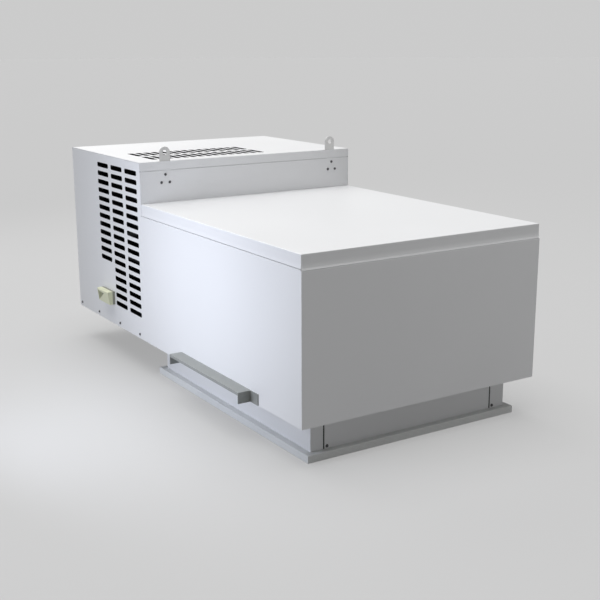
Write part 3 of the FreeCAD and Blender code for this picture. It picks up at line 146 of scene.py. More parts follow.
def add_piece(name, bm, material, *nodes, body="housing"):
    """Finished piece from a mesh in place; it rides on its body and stands for its CAD nodes."""
    mesh = bpy.data.meshes.new(name)
    bm.to_mesh(mesh)
    bm.free()
    mesh.materials.append(material)
    piece = bpy.data.objects.new(name, mesh)
    bpy.context.scene.collection.objects.link(piece)
    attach(piece, body)
    if nodes:
        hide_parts(*nodes)
    return piece


def merged_copy(node):
    """Mesh of a CAD piece with its triangles joined into whole flat faces."""
    bm = bmesh.new()
    bm.from_mesh(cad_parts[node].data)
    bmesh.ops.remove_doubles(bm, verts=bm.verts[:], dist=1e-6)
    bmesh.ops.dissolve_limit(bm, angle_limit=math.radians(1), verts=bm.verts[:], edges=bm.edges[:])
    return bm


def round_edges(bm, edges, width, segments=2, clamped=False):
    """Rounds edges off, as folding, moulding or deburring leaves them."""
    bmesh.ops.bevel(bm, geom=edges, offset=width, offset_type="OFFSET", segments=segments,
                    profile=0.5, affect="EDGES", material=-1, clamp_overlap=clamped)


def sharp_edges(bm):
    """Edges at which two faces meet at more than 35 degrees."""
    least = math.radians(35)
    return [edge for edge in bm.edges if edge.is_manifold and edge.calc_face_angle() > least]


def broken_edges(node, material, width, segments=2):
    """The CAD piece with its sharp edges rounded."""
    bm = merged_copy(node)
    round_edges(bm, sharp_edges(bm), width, segments, clamped=True)
    add_piece(node + "_finished", bm, material, node)


galvanised = finish("galvanised_sheet", (0.315, 0.325, 0.315), (0.275, 0.285, 0.275), 0.44, 0.56,
                    effect=crystal_cells, metallic=0.4, patch_scale=140.0, grain_scale=260.0,
                    relief=0.000006)
room_middle = (0, 0.519, 0.2)
room_half = (0.2746, 0.2024, 0.1995)
room_reaches = ("Half Width", "Half Depth", "Half Height")


def room_shade_group():
    """Mask of painted shade: 1 inside a block behind the bulkhead, from the pan to the cover, the
    machine room.
    """
    group, way_in, way_out, where = new_group(
        "room_shade_mask", dict(zip(room_reaches, room_half)), ("Inside",))
    axes = group.nodes.new("ShaderNodeSeparateXYZ")
    group.links.new(where, axes.inputs["Vector"])
    inside = None
    for axis, middle, reach in zip("XYZ", room_middle, room_reaches):
        within = group.nodes.new("ShaderNodeMath")
        within.operation = "COMPARE"
        group.links.new(axes.outputs[axis], within.inputs[0])
        within.inputs[1].default_value = middle
        group.links.new(way_in.outputs[reach], within.inputs[2])
        if inside:
            both = group.nodes.new("ShaderNodeMath")
            both.operation = "MULTIPLY"
            group.links.new(inside, both.inputs[0])
            group.links.new(within.outputs["Value"], both.inputs[1])
            inside = both.outputs["Value"]
        else:
            inside = within.outputs["Value"]
    group.links.new(inside, way_out.inputs["Inside"])
    return group


room_shade_mask = room_shade_group()


def shaded_inside(sheet_finish, name, half=room_half):
    """Copy of a sheet's finish, with black painted shade on its faces inside the machine room."""
    material = sheet_finish.copy()
    material.name = name
    nodes = material.node_tree.nodes
    links = material.node_tree.links
    base = nodes["Principled BSDF"].inputs["Base Color"]
    room = nodes.new("ShaderNodeGroup")
    room.node_tree = room_shade_mask
    for reach, length in zip(room_reaches, half):
        room.inputs[reach].default_value = length
    # Near-black colour over the faces inside the machine room: painted shade.
    coat = nodes.new("ShaderNodeMix")
    coat.data_type = "RGBA"
    coat.inputs["B"].default_value = (0.012, 0.012, 0.013, 1)
    links.new(room.outputs["Inside"], coat.inputs["Factor"])
    links.new(base.links[0].from_socket, coat.inputs["A"])
    links.new(coat.outputs["Result"], base)
    return material


# Galvanised sheet with black painted shade on its faces inside the machine room.
room_shaded_zinc = shaded_inside(galvanised, "finished_galvanised_sheet_shaded")
broken_edges("base_pan", room_shaded_zinc, 0.0004)


# Plug through the ceiling
# A foam core with two air ducts, wrapped in four skins of white coated sheet. Two open seams in the
# front and the rear hold dark strips of painted shade, and small screws hold the skins beside them.

white_paint = finish("white_sheet", (0.80, 0.804, 0.812), (0.765, 0.769, 0.777), 0.36, 0.46,
                     coat=0.12, patch_scale=5.0, grain_scale=520.0, relief=0.00004)
foam = finish("foam", (0.80, 0.76, 0.62), (0.70, 0.66, 0.52), 0.80, 0.95, effect=crystal_cells,
              patch_scale=260.0, grain_scale=260.0, relief=0.0006)
for skin in ("plug_collar_left", "plug_collar_right", "plug_collar_front", "plug_collar_rear"):
    broken_edges(skin, white_paint, 0.0003)
broken_edges("plug_insulation", foam, 0.0003)
rubber = finish("gasket", (0.028, 0.028, 0.028), (0.018, 0.018, 0.018), 0.70, 0.88,
                patch_scale=60.0, grain_scale=900.0)


def add_block(bm, size, middle):
    """Adds a block to a mesh and returns its corners."""
    corners = bmesh.ops.create_cube(bm, size=1)["verts"]
    bmesh.ops.scale(bm, vec=size, verts=corners)
    bmesh.ops.translate(bm, vec=middle, verts=corners)
    return corners


def height_of(edge):
    """Difference in level between an edge's ends."""
    return abs(edge.verts[0].co.z - edge.verts[1].co.z)


# Dark strips in the open seams: painted shade for the shadow inside the gaps.
seam_shade_strips = bmesh.new()
bead_depth = 0.0008
left_low, left_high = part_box("plug_collar_left")
right_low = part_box("plug_collar_right")[0]
for middle_skin, way in (("plug_collar_front", 1), ("plug_collar_rear", -1)):
    skin_low, skin_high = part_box(middle_skin)
    face_y = skin_low.y if way > 0 else skin_high.y
    for seam_low, seam_high in ((left_high.x, skin_low.x), (skin_high.x, right_low.x)):
        add_block(seam_shade_strips, (seam_high - seam_low, bead_depth, left_high.z - left_low.z), (
            (seam_low + seam_high) / 2, face_y + way * bead_depth, (left_low.z + left_high.z) / 2))
round_edges(seam_shade_strips, [edge for edge in seam_shade_strips.edges if height_of(edge) > 0.01], 0.0003)
add_piece("plug_seam_shade_strips", seam_shade_strips, rubber)


# Flange under the plug
# A frame of matt off-white plastic that closes the cut-out from the cold room. It is moulded, with
# softly rounded edges, and rebated from below for the two grilles.

flange_plastic = finish("flange_plastic", (0.80, 0.81, 0.80), (0.75, 0.76, 0.75), 0.46, 0.60,
                        patch_scale=14.0, grain_scale=900.0)
broken_edges("plug_flange", flange_plastic, 0.0011, segments=3)


# Grilles in the flange
# The intake grille is a flat moulding with two rows of long openings; the outlet grille has slanted
# blades that throw the cold air to the rear. Both lie in the flange's rebates.

for grille in ("intake_grille", "discharge_grille"):
    broken_edges(grille, flange_plastic, 0.0004)


# Insulated housing of the evaporator
# Slabs of cut foam glued into a box that is open at the top, on the base pan.

broken_edges("insulation_box", foam, 0.0006)


# Fan deck with its bell-mouth rings and motor straps
# Pressed galvanised sheet: two short rings guide the air into the fans, and each motor sits on a
# strap that bridges its ring.

broken_edges("fan_deck", galvanised, 0.0003)
broken_edges("evaporator_motor_straps", galvanised, 0.0005)


# Motors of the three fans
# Small shaded-pole motors: square stacks between black painted end covers, with a groove between
# the two halves and rounded corners.

motor_paint = finish("motor_black", (0.030, 0.030, 0.034), (0.018, 0.018, 0.020), 0.38, 0.52,
                     patch_scale=30.0, grain_scale=900.0)
for motor in ("evaporator_motor_left", "evaporator_motor_right", "condenser_motor"):
    broken_edges(motor, motor_paint, 0.0009, segments=3)


# Evaporator fans
# Axial fans moulded in black plastic: five broad blades twist from a round hub and are thinner
# towards their tips. Each turns on its motor's shaft.

black_plastic = finish("black_plastic", (0.045, 0.045, 0.047), (0.030, 0.030, 0.032), 0.42, 0.58,
                       patch_scale=40.0, grain_scale=1100.0)


def fan_mesh(radius, hub_radius, hub_length, shaft_length):
    """Fan about Z at the origin, whose shaft rises from the middle of its hub."""
    bm = bmesh.new()
    bmesh.ops.create_cone(bm, cap_ends=True, segments=48, radius1=hub_radius, radius2=hub_radius,
                          depth=hub_length)
    round_edges(bm, [edge for edge in bm.edges if height_of(edge) < 1e-6], 0.003, 3)
    blade = bmesh.new()
    blade_count, stations, chord_steps = 5, 10, 8
    camber, root_angle, twist, shaft_radius = 0.055, 33, 12, 0.004
    bmesh.ops.create_grid(blade, x_segments=stations, y_segments=chord_steps, size=0.5)
    root = hub_radius * 0.8
    for step in range(stations + 1):
        share = step / stations
        row = [v for v in blade.verts if abs(v.co.x - (share - 0.5)) < 1e-4]
        chord = radius * (0.32 + 0.34 * share)
        for v in row:
            v.co.z = radius * camber * (1 - (2 * v.co.y) ** 2)
        bmesh.ops.scale(blade, vec=(1, chord, 1), verts=row)
        turn = Matrix.Rotation(math.radians(root_angle - twist * share), 3, "X")
        bmesh.ops.rotate(blade, cent=(0, 0, 0), matrix=turn, verts=row)
        reach = root + (radius - root) * share
        bmesh.ops.translate(blade, vec=(reach - row[0].co.x, 0, 0), verts=row)
        for v in row:
            if abs(v.co.y) < reach:
                v.co.x = math.sqrt(max(reach ** 2 - v.co.y ** 2 * share, 1e-9))
    bmesh.ops.recalc_face_normals(blade, faces=blade.faces[:])
    bmesh.ops.solidify(blade, geom=blade.faces[:], thickness=0.0018)
    blade_mesh = bpy.data.meshes.new("fan_blade")
    blade.to_mesh(blade_mesh)
    blade.free()
    for number in range(blade_count):
        known = set(bm.verts)
        bm.from_mesh(blade_mesh)
        turn = Matrix.Rotation(math.radians(360 / blade_count * number), 3, "Z")
        bmesh.ops.rotate(bm, cent=(0, 0, 0), matrix=turn,
                         verts=[v for v in bm.verts if v not in known])
    bpy.data.meshes.remove(blade_mesh)
    bmesh.ops.create_cone(bm, cap_ends=True, segments=24, radius1=shaft_radius,
                          radius2=shaft_radius, depth=shaft_length,
                          matrix=Matrix.Translation((0, 0, shaft_length / 2)))
    return bm


def smooth(piece, angle=40):
    """Round surfaces shade smoothly and edges sharper than the angle stay crisp."""
    piece.data.shade_smooth()
    piece.data.set_sharp_from_angle(angle=math.radians(angle))


fan_y, fan_z = -0.14165, 0.047
for side in ("left", "right"):
    name = "evaporator_fan_" + side
    low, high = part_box(name)
    wheel = fan_mesh(0.0979, 0.0294, 0.024, high.z - fan_z)
    bmesh.ops.translate(wheel, vec=((low.x + high.x) / 2, fan_y, fan_z), verts=wheel.verts[:])
    smooth(add_piece(name + "_wheel", wheel, black_plastic, name, body=name))


# Drip tray, defrost heater and drain
# A tray of aluminium sheet catches the melt water under the coil, a steel heating rod thaws the
# coil, and a plastic pipe carries the water to a hose spigot behind the rear panel.

aluminium = finish("aluminium_fin", (0.78, 0.79, 0.80), (0.66, 0.67, 0.68), 0.30, 0.45,
                   metallic=1.0, patch_scale=20.0, grain_scale=800.0, relief=0.00001)
heater_steel = finish("heater_steel", (0.56, 0.55, 0.53), (0.42, 0.40, 0.38), 0.35, 0.50,
                      metallic=1.0, patch_scale=30.0)
drain_plastic = finish("drain_plastic", (0.74, 0.74, 0.72), (0.68, 0.68, 0.66), 0.48, 0.60,
                       patch_scale=30.0)
broken_edges("drip_tray", aluminium, 0.0004)


def extrude_rim(bm, rim):
    """Grows a strip of faces from a line of edges; returns its new corners and far edges."""
    grown = bmesh.ops.extrude_edge_only(bm, edges=rim)["geom"]
    corners = [part for part in grown if isinstance(part, bmesh.types.BMVert)]
    return corners, [part for part in grown if isinstance(part, bmesh.types.BMEdge)
                     and part.verts[0] in corners and part.verts[1] in corners]


def add_tube(bm, points, radius, bend, segments=20):
    """Round tube along a route with square corners: rings are extruded and spun round each bend."""
    route = [Vector(point) for point in points]
    heading = (route[1] - route[0]).normalized()
    place = Matrix.Translation(route[0]) @ heading.to_track_quat("Z", "Y").to_matrix().to_4x4()
    ring = bmesh.ops.create_circle(bm, cap_ends=False, segments=segments, radius=radius,
                                   matrix=place)["verts"]
    edges = list({edge for v in ring for edge in v.link_edges})
    rims = list(edges)
    here = route[0]
    for number in range(1, len(route)):
        corner = route[number]
        last = number == len(route) - 1
        end = corner if last else corner - heading * bend
        ring, edges = extrude_rim(bm, edges)
        bmesh.ops.translate(bm, vec=end - here, verts=ring)
        if last:
            rims += edges
            break
        ahead = (route[number + 1] - corner).normalized()
        turned = bmesh.ops.spin(
            bm, geom=edges + ring, cent=end + ahead * bend, axis=heading.cross(ahead),
            angle=math.radians(90), steps=7)["geom_last"]
        ring = [part for part in turned if isinstance(part, bmesh.types.BMVert)]
        edges = [part for part in turned if isinstance(part, bmesh.types.BMEdge)]
        heading = ahead
        here = corner + ahead * bend
    bmesh.ops.holes_fill(bm, edges=rims)
    bmesh.ops.recalc_face_normals(bm, faces=bm.faces[:])


low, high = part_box("defrost_heater")
middle = (low + high) / 2
heater = bmesh.new()
add_tube(heater, [(low.x, middle.y, middle.z), (high.x, middle.y, middle.z)], 0.004, 0)
smooth(add_piece("defrost_heater_round", heater, heater_steel, "defrost_heater"))
low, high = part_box("drain_pipe")
middle = (low + high) / 2
spigot_length = 0.016
spigot_y = high.y - spigot_length
drain = bmesh.new()
add_tube(drain, [(middle.x, low.y, middle.z), (middle.x, spigot_y, middle.z)], 0.006, 0)
spigot = bmesh.ops.create_cone(drain, cap_ends=True, segments=32, radius1=0.008, radius2=0.0074,
                               depth=spigot_length)["verts"]
bmesh.ops.rotate(drain, cent=(0, 0, 0), matrix=Matrix.Rotation(math.radians(-90), 3, "X"),
                 verts=spigot)
bmesh.ops.translate(drain, vec=(middle.x, spigot_y + spigot_length / 2, middle.z), verts=spigot)
smooth(add_piece("drain_pipe_round", drain, drain_plastic, "drain_pipe"))


# Evaporator coil
# Thin aluminium plates stand across copper hairpin tubes, which turn back at the right end. Two end
# plates carry the pack over the tray, and a copper header stands at its left end.

copper = finish("copper", (0.80, 0.42, 0.28), (0.55, 0.25, 0.15), 0.24, 0.48, metallic=1.0,
                patch_scale=35.0, grain_scale=900.0, relief=0.00001)
pack_low, pack_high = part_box("evaporator_fins")
plate_pitch, plate_thickness = 0.0035, 0.0003
plate_count = int((pack_high.x - pack_low.x) / plate_pitch)
size = pack_high - pack_low
plates = bmesh.new()
add_block(plates, (plate_thickness, size.y, size.z), (
    pack_low.x + plate_pitch / 2, (pack_low.y + pack_high.y) / 2, (pack_low.z + pack_high.z) / 2))


def repeat(bm, count, step):
    """Copies all that a mesh holds, each copy one step further on."""
    first = bm.verts[:] + bm.edges[:] + bm.faces[:]
    for number in range(1, count):
        copy = bmesh.ops.duplicate(bm, geom=first)["geom"]
        bmesh.ops.translate(bm, vec=[along * number for along in step],
                            verts=[part for part in copy if isinstance(part, bmesh.types.BMVert)])


repeat(plates, plate_count, (plate_pitch, 0, 0))
add_piece("evaporator_plates", plates, aluminium, "evaporator_fins")
broken_edges("evaporator_end_plates", aluminium, 0.0003)
coil_tubes = bmesh.new()
hairpin_pitch, hairpin_width = 0.055, 0.025
start_x, end_x = pack_low.x - 0.005, pack_high.x + 0.008
for row in range(4):
    level = pack_low.z + 0.03 + row * hairpin_pitch
    for across in (0.0125, 0.0375):
        y = pack_low.y + across
        run = [(start_x, y, level), (end_x, y, level),
               (end_x, y, level + hairpin_width), (start_x, y, level + hairpin_width)]
        add_tube(coil_tubes, run, 0.004, hairpin_width / 2, segments=12)
smooth(add_piece("evaporator_tubes", coil_tubes, copper))
header = merged_copy("evaporator_header")
round_edges(header, sharp_edges(header), 0.0015, 3, clamped=True)
smooth(add_piece("evaporator_header_round", header, copper, "evaporator_header"), 50)


# Bulkhead
# The wall between the two sections, one white coated sheet, with black painted shade towards the
# machine room.
# Its upper part is the step face; folded lips, and white sealant at the eyes, back the seam on top.

# White sheet with black painted shade on its faces inside the machine room.
room_shaded_paint = shaded_inside(white_paint, "finished_white_sheet_shaded")
broken_edges("bulkhead_panel", room_shaded_paint, 0.0003)
lips = bmesh.new()
seam_level, lip_end, eye_gap = 0.3825, 0.2725, 0.0004
lip_y, lip_height, lip_depth, bead_y, bead_height = 0.3176, 0.007, 0.006, 0.3170, 0.0012


def add_strip(start, end, y, height):
    """Upright strip behind the seam, from one x to another; returns its corners."""
    strip = bmesh.ops.create_grid(lips, x_segments=1, y_segments=1, size=0.5)["verts"]
    bmesh.ops.rotate(lips, cent=(0, 0, 0), matrix=Matrix.Rotation(math.radians(90), 3, "X"),
                     verts=strip)
    bmesh.ops.scale(lips, vec=(end - start, 1, height), verts=strip)
    bmesh.ops.translate(lips, vec=((start + end) / 2, y, seam_level), verts=strip)
    return strip


(left_start, left_end), (right_start, right_end) = [
    [corner.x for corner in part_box(eye)] for eye in ("lifting_eye_left", "lifting_eye_right")]
for start, end in ((-lip_end, left_start - eye_gap), (left_end + eye_gap, right_start - eye_gap),
                   (right_end + eye_gap, lip_end)):
    lip = add_strip(start, end, lip_y, lip_height)
    foot = [edge for edge in lips.edges
            if all(v in lip and v.co.z < seam_level for v in edge.verts)]
    bmesh.ops.translate(lips, vec=(0, lip_depth, 0), verts=extrude_rim(lips, foot)[0])
for start, end in ((left_start, left_end), (right_start, right_end)):
    add_strip(start - eye_gap, end + eye_gap, bead_y, bead_height)
bmesh.ops.recalc_face_normals(lips, faces=lips.faces[:])
lip_sheet = add_piece("bulkhead_lips", lips, white_paint)
lip_wall = lip_sheet.modifiers.new("sheet", "SOLIDIFY")
lip_wall.thickness = 0.0004
lip_wall.offset = 0


# Compressor
# A hermetic compressor in glossy black paint: a drawn steel pot and lid welded round the middle, on
# a foot plate over rubber grommets, with a plastic cover over its terminals.

compressor_paint = finish("compressor_black", (0.022, 0.022, 0.024), (0.014, 0.014, 0.016), 0.16,
                          0.30, coat=0.4, patch_scale=12.0, grain_scale=420.0, relief=0.00005)
steel_core = finish("steel_core", (0.42, 0.42, 0.44), (0.30, 0.30, 0.31), 0.40, 0.55, metallic=1.0)
shell_low, shell_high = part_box("compressor_shell")
shell_x = (shell_low.x + shell_high.x) / 2
shell_y = (shell_low.y + shell_high.y) / 2
foot_thickness = 0.003
can = bmesh.new()
profile = [(0, 0.004), (0.6, 0.003), (0.84, 0.004), (0.96, 0.012), (1, 0.028), (1, 0.118),
           (1.015, 0.119), (1.015, 0.125), (1, 0.126), (1, 0.170), (0.985, 0.186), (0.93, 0.199),
           (0.80, 0.209), (0.55, 0.2135), (0.25, 0.2148), (0, 0.215)]
weld_radius = (shell_high.x - shell_low.x) / 2 - 0.0002
pot_radius = weld_radius / 1.015


def turn_profile(bm, points, axis, steps):
    """Round body from a line of points turned about an axis."""
    line = [bm.verts.new(point) for point in points]
    line_edges = [bm.edges.new(pair) for pair in zip(line, line[1:])]
    bmesh.ops.spin(bm, geom=line + line_edges, cent=(0, 0, 0), axis=axis, angle=math.radians(360),
                   steps=steps, use_merge=True)
    bmesh.ops.remove_doubles(bm, verts=bm.verts[:], dist=1e-5)


turn_profile(can, [(share * pot_radius, 0, height) for share, height in profile], (0, 0, 1), 64)
bmesh.ops.translate(can, vec=(shell_x, shell_y, shell_low.z + foot_thickness), verts=can.verts[:])
foot = add_block(can, (shell_high.x - shell_low.x, shell_high.y - shell_low.y, foot_thickness),
                 (shell_x, shell_y, shell_low.z + foot_thickness / 2))
round_edges(can, [edge for edge in can.edges if edge.verts[0] in foot and edge.verts[1] in foot
                  and height_of(edge) > 0.001], 0.011, 6)
bmesh.ops.recalc_face_normals(can, faces=can.faces[:])
smooth(add_piece("compressor_can", can, compressor_paint, "compressor_shell"))
broken_edges("compressor_grommets", rubber, 0.0012, segments=3)
broken_edges("compressor_terminal_cover", black_plastic, 0.0015, segments=3)
broken_edges("compressor_pump", steel_core, 0.001)
screw_zinc = finish("zinc_screws", (0.10, 0.10, 0.105), (0.07, 0.07, 0.075), 0.40, 0.52,
                    metallic=0.6, patch_scale=300.0)
broken_edges("compressor_bolts", screw_zinc, 0.0005)


# Condenser
# Flat aluminium tubes between two upright headers, with folded fin strips brazed between them, all
# dip-coated black, a black that also stands in for the shade behind the side slots. It stands on a
# channel, and a shroud with a ring joins it to the fan; both carry black painted shade inside the
# room.

# Black dip coat, which here also stands in for the shade seen behind the side slots.
black_coil_and_shade = finish("aluminium_fin", (0.026, 0.026, 0.028), (0.016, 0.016, 0.018), 0.40, 0.55,
                    patch_scale=20.0, grain_scale=800.0, relief=0.00001)
broken_edges("condenser_stand", room_shaded_zinc, 0.0004)
broken_edges("condenser_core", black_coil_and_shade, 0.0006)
strip_low, strip_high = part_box("condenser_fins")
tube_pitch, tube_thickness, fold_pitch = 0.015, 0.002, 0.0016
rows = round((strip_high.z - strip_low.z + tube_thickness) / tube_pitch)
folds = int((strip_high.x - strip_low.x) / fold_pitch)
strips = bmesh.new()
strip_gap = 0.0001
edges = [strips.edges.new([strips.verts.new((strip_low.x, y, strip_low.z + strip_gap))
                           for y in (strip_low.y, strip_high.y)])]
rise = tube_pitch - tube_thickness - 2 * strip_gap
for number in range(folds):
    ends, edges = extrude_rim(strips, edges)
    bmesh.ops.translate(strips, vec=(fold_pitch, 0, rise if number % 2 == 0 else -rise), verts=ends)
repeat(strips, rows, (0, 0, tube_pitch))
folded = add_piece("condenser_folded_strips", strips, black_coil_and_shade, "condenser_fins")
thickness = folded.modifiers.new("sheet", "SOLIDIFY")
thickness.thickness = 0.0002
thickness.offset = 0
broken_edges("condenser_shroud", room_shaded_zinc, 0.0003)
broken_edges("condenser_motor_strap", room_shaded_zinc, 0.0005)


# Condenser fan
# The same kind of moulded fan, larger, in the shroud's ring. Its shaft runs forward to the motor.

fan_y, fan_z = 0.6428, 0.205
wheel = fan_mesh(0.140, 0.042, 0.034, fan_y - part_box("condenser_fan")[0].y)
bmesh.ops.rotate(wheel, cent=(0, 0, 0), matrix=Matrix.Rotation(math.radians(90), 3, "X"),
                 verts=wheel.verts[:])
bmesh.ops.translate(wheel, vec=(0, fan_y, fan_z), verts=wheel.verts[:])
smooth(add_piece("condenser_fan_wheel", wheel, black_plastic, "condenser_fan",
                 body="condenser_fan"))


# Refrigerant lines
# Bent copper pipes join the compressor, the condenser, the filter drier and the evaporator. The
# drier is a copper pot drawn down to the pipe at both ends, and black sleeves wrap three pipes.

line_y, line_level, bulkhead_y = 0.6028, 0.084, 0.3225
suction_bends = [(-0.230, 0.41815, 0.2251), (-0.230, 0.41815, 0.122)]
discharge_bends = [(-0.085, 0.55155, 0.200), (-0.218, 0.55155, 0.200)]
expansion_bends = [(-0.2145, line_y, line_level), (-0.2145, line_y, 0.150)]


def bent_pipe(name, radius, start, bends, end, material, *nodes):
    """Pipe from one end to the other through its bends, all of the same bending radius."""
    bm = bmesh.new()
    add_tube(bm, [start, *bends, end], radius, 0.030)
    smooth(add_piece(name, bm, material, *nodes))


bent_pipe("suction_line_round", 0.007, (-0.230, 0.0404, 0.2251), suction_bends,
          (-0.16715, 0.41815, 0.122), copper, "suction_line")
bent_pipe("discharge_line_round", 0.005, (-0.085, 0.5003, 0.200), discharge_bends,
          (-0.218, 0.677, 0.200), copper, "discharge_line")
bent_pipe("liquid_line_round", 0.004, (0.218, 0.677, line_level), [(0.218, line_y, line_level)],
          (0.150, line_y, line_level), copper, "liquid_line")
bent_pipe("expansion_line_round", 0.004, (0.040, line_y, line_level), expansion_bends,
          (-0.2145, 0.041, 0.150), copper, "expansion_line")
bent_pipe("suction_line_sleeve", 0.0095, (-0.230, bulkhead_y, 0.2251), suction_bends,
          (-0.1765, 0.41815, 0.122), rubber)
bent_pipe("expansion_line_sleeve", 0.0055, (-0.120, line_y, line_level), expansion_bends,
          (-0.2145, bulkhead_y, 0.150), rubber)
bent_pipe("discharge_line_sleeve", 0.0064, (-0.085, 0.5120, 0.200), discharge_bends,
          (-0.218, 0.6440, 0.200), rubber)
drier = bmesh.new()
profile = [(-0.055, 0.0), (-0.055, 0.0052), (-0.043, 0.0052), (-0.038, 0.0090), (-0.032, 0.0145),
           (-0.026, 0.0158), (-0.020, 0.0160)]
profile += [(-along, radius) for along, radius in reversed(profile)]
turn_profile(drier, [(along, radius, 0) for along, radius in profile], (1, 0, 0), 32)
bmesh.ops.translate(drier, vec=(0.095, line_y, line_level), verts=drier.verts[:])
bmesh.ops.recalc_face_normals(drier, faces=drier.faces[:])
smooth(add_piece("filter_drier_pot", drier, copper, "filter_drier"))


# Electrical box
# A galvanised sheet box on the rear of the bulkhead, closed by a cover with a skirt.

broken_edges("electrical_box", galvanised, 0.0003)
broken_edges("electrical_box_cover", galvanised, 0.0005)


# Side panels
# Each side is one stepped white sheet of 1.2 mm with its top edges folded in. Only the left one has
# air slots: three columns with rounded corners, the rear one shorter to clear the cable entry.

sheet = 0.0012


def add_outline(bm, points):
    """Closed line of edges through flat points."""
    corners = [bm.verts.new((across, along, 0)) for across, along in points]
    for pair in zip(corners, corners[1:] + corners[:1]):
        bm.edges.new(pair)


slot_length, slot_corner = 0.065, 0.0042


def add_slot(bm, centre, width, upright=False):
    """Slot outline with rounded corners: a ring whose four quarters are moved apart."""
    ring = bmesh.ops.create_circle(bm, cap_ends=False, segments=16, radius=slot_corner,
                                   matrix=Matrix.Rotation(math.radians(11.25), 4, "Z"))["verts"]
    for v in ring:
        v.co.x += math.copysign(slot_length / 2 - slot_corner, v.co.x)
        v.co.y += math.copysign(width / 2 - slot_corner, v.co.y)
    if upright:
        bmesh.ops.rotate(bm, cent=(0, 0, 0), matrix=Matrix.Rotation(math.radians(90), 3, "Z"),
                         verts=ring)
    bmesh.ops.translate(bm, vec=(*centre, 0), verts=ring)


def add_fold(bm, rim, depth):
    """Turns the sheet down along its rim, with a rounded fold."""
    bmesh.ops.translate(bm, vec=(0, 0, depth), verts=extrude_rim(bm, rim)[0])
    round_edges(bm, rim, 0.0018, 4)


def side_sheet(slots):
    """Left side panel as a folded skin, its outer face in the plane of the cabinet's side."""
    low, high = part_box("side_panel_left")
    seam, step_y, fold_y, top_fold, low_fold = 0.2854, 0.3174, 0.3158, 0.0192, 0.0252
    first_column, column_pitch, top_row, row_pitch, width = 0.368, 0.080, 0.3764, 0.020, 0.0112
    bm = bmesh.new()
    add_outline(bm, [(low.y, 0), (high.y, 0), (high.y, high.z), (step_y, high.z), (step_y, seam),
                     (low.y, seam)])
    if slots:
        for column in range(3):
            for row in range(12 if column == 2 else 17):
                add_slot(bm, (first_column + column_pitch * column, top_row - row_pitch * row),
                         width)
        cable_hole = bmesh.ops.create_circle(bm, cap_ends=False, segments=32, radius=0.010)["verts"]
        bmesh.ops.translate(bm, vec=(0.522, 0.0655, 0), verts=cable_hole)
    bmesh.ops.triangle_fill(bm, use_beauty=True, edges=bm.edges[:], normal=(0, 0, 1))
    for level, start, end, depth in ((high.z, step_y, high.y, top_fold),
                                     (seam, low.y, fold_y, low_fold)):
        add_fold(bm, [edge for edge in bm.edges if edge.is_boundary
                      and all(abs(v.co.y - level) < 1e-5 and start - 0.002 < v.co.x < end + 0.002
                              for v in edge.verts)], depth)
    upright = Matrix(((0, 0, 1, low.x), (1, 0, 0, 0), (0, 1, 0, 0), (0, 0, 0, 1)))
    bmesh.ops.transform(bm, matrix=upright, verts=bm.verts[:])
    return bm


def face_outwards(bm, probe):
    """Turns the skin so that its largest face looks towards a point."""
    bmesh.ops.recalc_face_normals(bm, faces=bm.faces[:])
    largest = max(bm.faces, key=lambda face: face.calc_area())
    if largest.normal.dot(Vector(probe) - largest.calc_center_median()) < 0:
        bmesh.ops.reverse_faces(bm, faces=bm.faces[:])


def thicken(piece, thickness):
    """Gives a skin its thickness on the inside."""
    wall = piece.modifiers.new("sheet", "SOLIDIFY")
    wall.thickness = thickness
    wall.offset = -1
    wall.use_even_offset = True


left = side_sheet(True)
face_outwards(left, (-2, 0.2, 0.2))
# The sides carry black painted shade on their faces inside the machine room.
thicken(add_piece("side_panel_left_sheet", left, room_shaded_paint, "side_panel_left"), sheet)
right = side_sheet(False)
bmesh.ops.scale(right, vec=(-1, 1, 1), verts=right.verts[:])
face_outwards(right, (2, 0.2, 0.2))
thicken(add_piece("side_panel_right_sheet", right, room_shaded_paint, "side_panel_right"), sheet)


# Front panel, rear panel and lid rail
# Plain white sheets between the side panels. The rear one has the large opening through which the
# condenser breathes; a galvanised angle along the bulkhead carries the lid.

low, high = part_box("front_panel")
fold, ledge_side, ledge_depth = 0.0040, 0.2496, 0.0254
fold_level = high.z - fold
front = bmesh.new()
bmesh.ops.create_grid(front, x_segments=3, y_segments=1, size=0.5)
stations = (low.x, -ledge_side, ledge_side, high.x)
for v in front.verts:
    v.co = (stations[round((v.co.x + 0.5) * 3)], 0, fold_level if v.co.y > 0 else low.z)
rim = [edge for edge in front.edges if all(v.co.z > low.z + fold for v in edge.verts)]
rim_verts = list({v for edge in rim for v in edge.verts})
bent = bmesh.ops.spin(front, geom=rim + rim_verts, cent=(0, fold, fold_level), axis=(-1, 0, 0),
                      angle=math.radians(90), steps=6)["geom_last"]
inner = [part for part in bent if isinstance(part, bmesh.types.BMEdge)
         and all(abs(v.co.x) < ledge_side + fold for v in part.verts)]
bmesh.ops.translate(front, vec=(0, ledge_depth - fold, 0), verts=extrude_rim(front, inner)[0])
bmesh.ops.translate(front, vec=(0, low.y, 0), verts=front.verts[:])
face_outwards(front, (0, -3, 0.1))
thicken(add_piece("front_panel_sheet", front, white_paint, "front_panel"), sheet)
# The rear panel carries black painted shade on its faces inside the machine room.
broken_edges("rear_panel", room_shaded_paint, 0.0004)
broken_edges("lid_rail", galvanised, 0.0004)


# Lifting eyes
# Flat eyes laser-cut from 3 mm steel and bright zinc plated. They stand behind the step face and
# pass up through slots in the cover.

zinc_plate = finish("zinc_plate", (0.55, 0.55, 0.545), (0.49, 0.49, 0.485), 0.34, 0.46,
                    metallic=0.55, patch_scale=60.0, grain_scale=700.0, relief=0.00001)
broken_edges("lifting_eye_left", zinc_plate, 0.0005)
broken_edges("lifting_eye_right", zinc_plate, 0.0005)


# Condenser cover
# One white sheet over the tall section, folded down at the front and the rear, with two rows of
# slots over the compressor and two openings for the eyes.

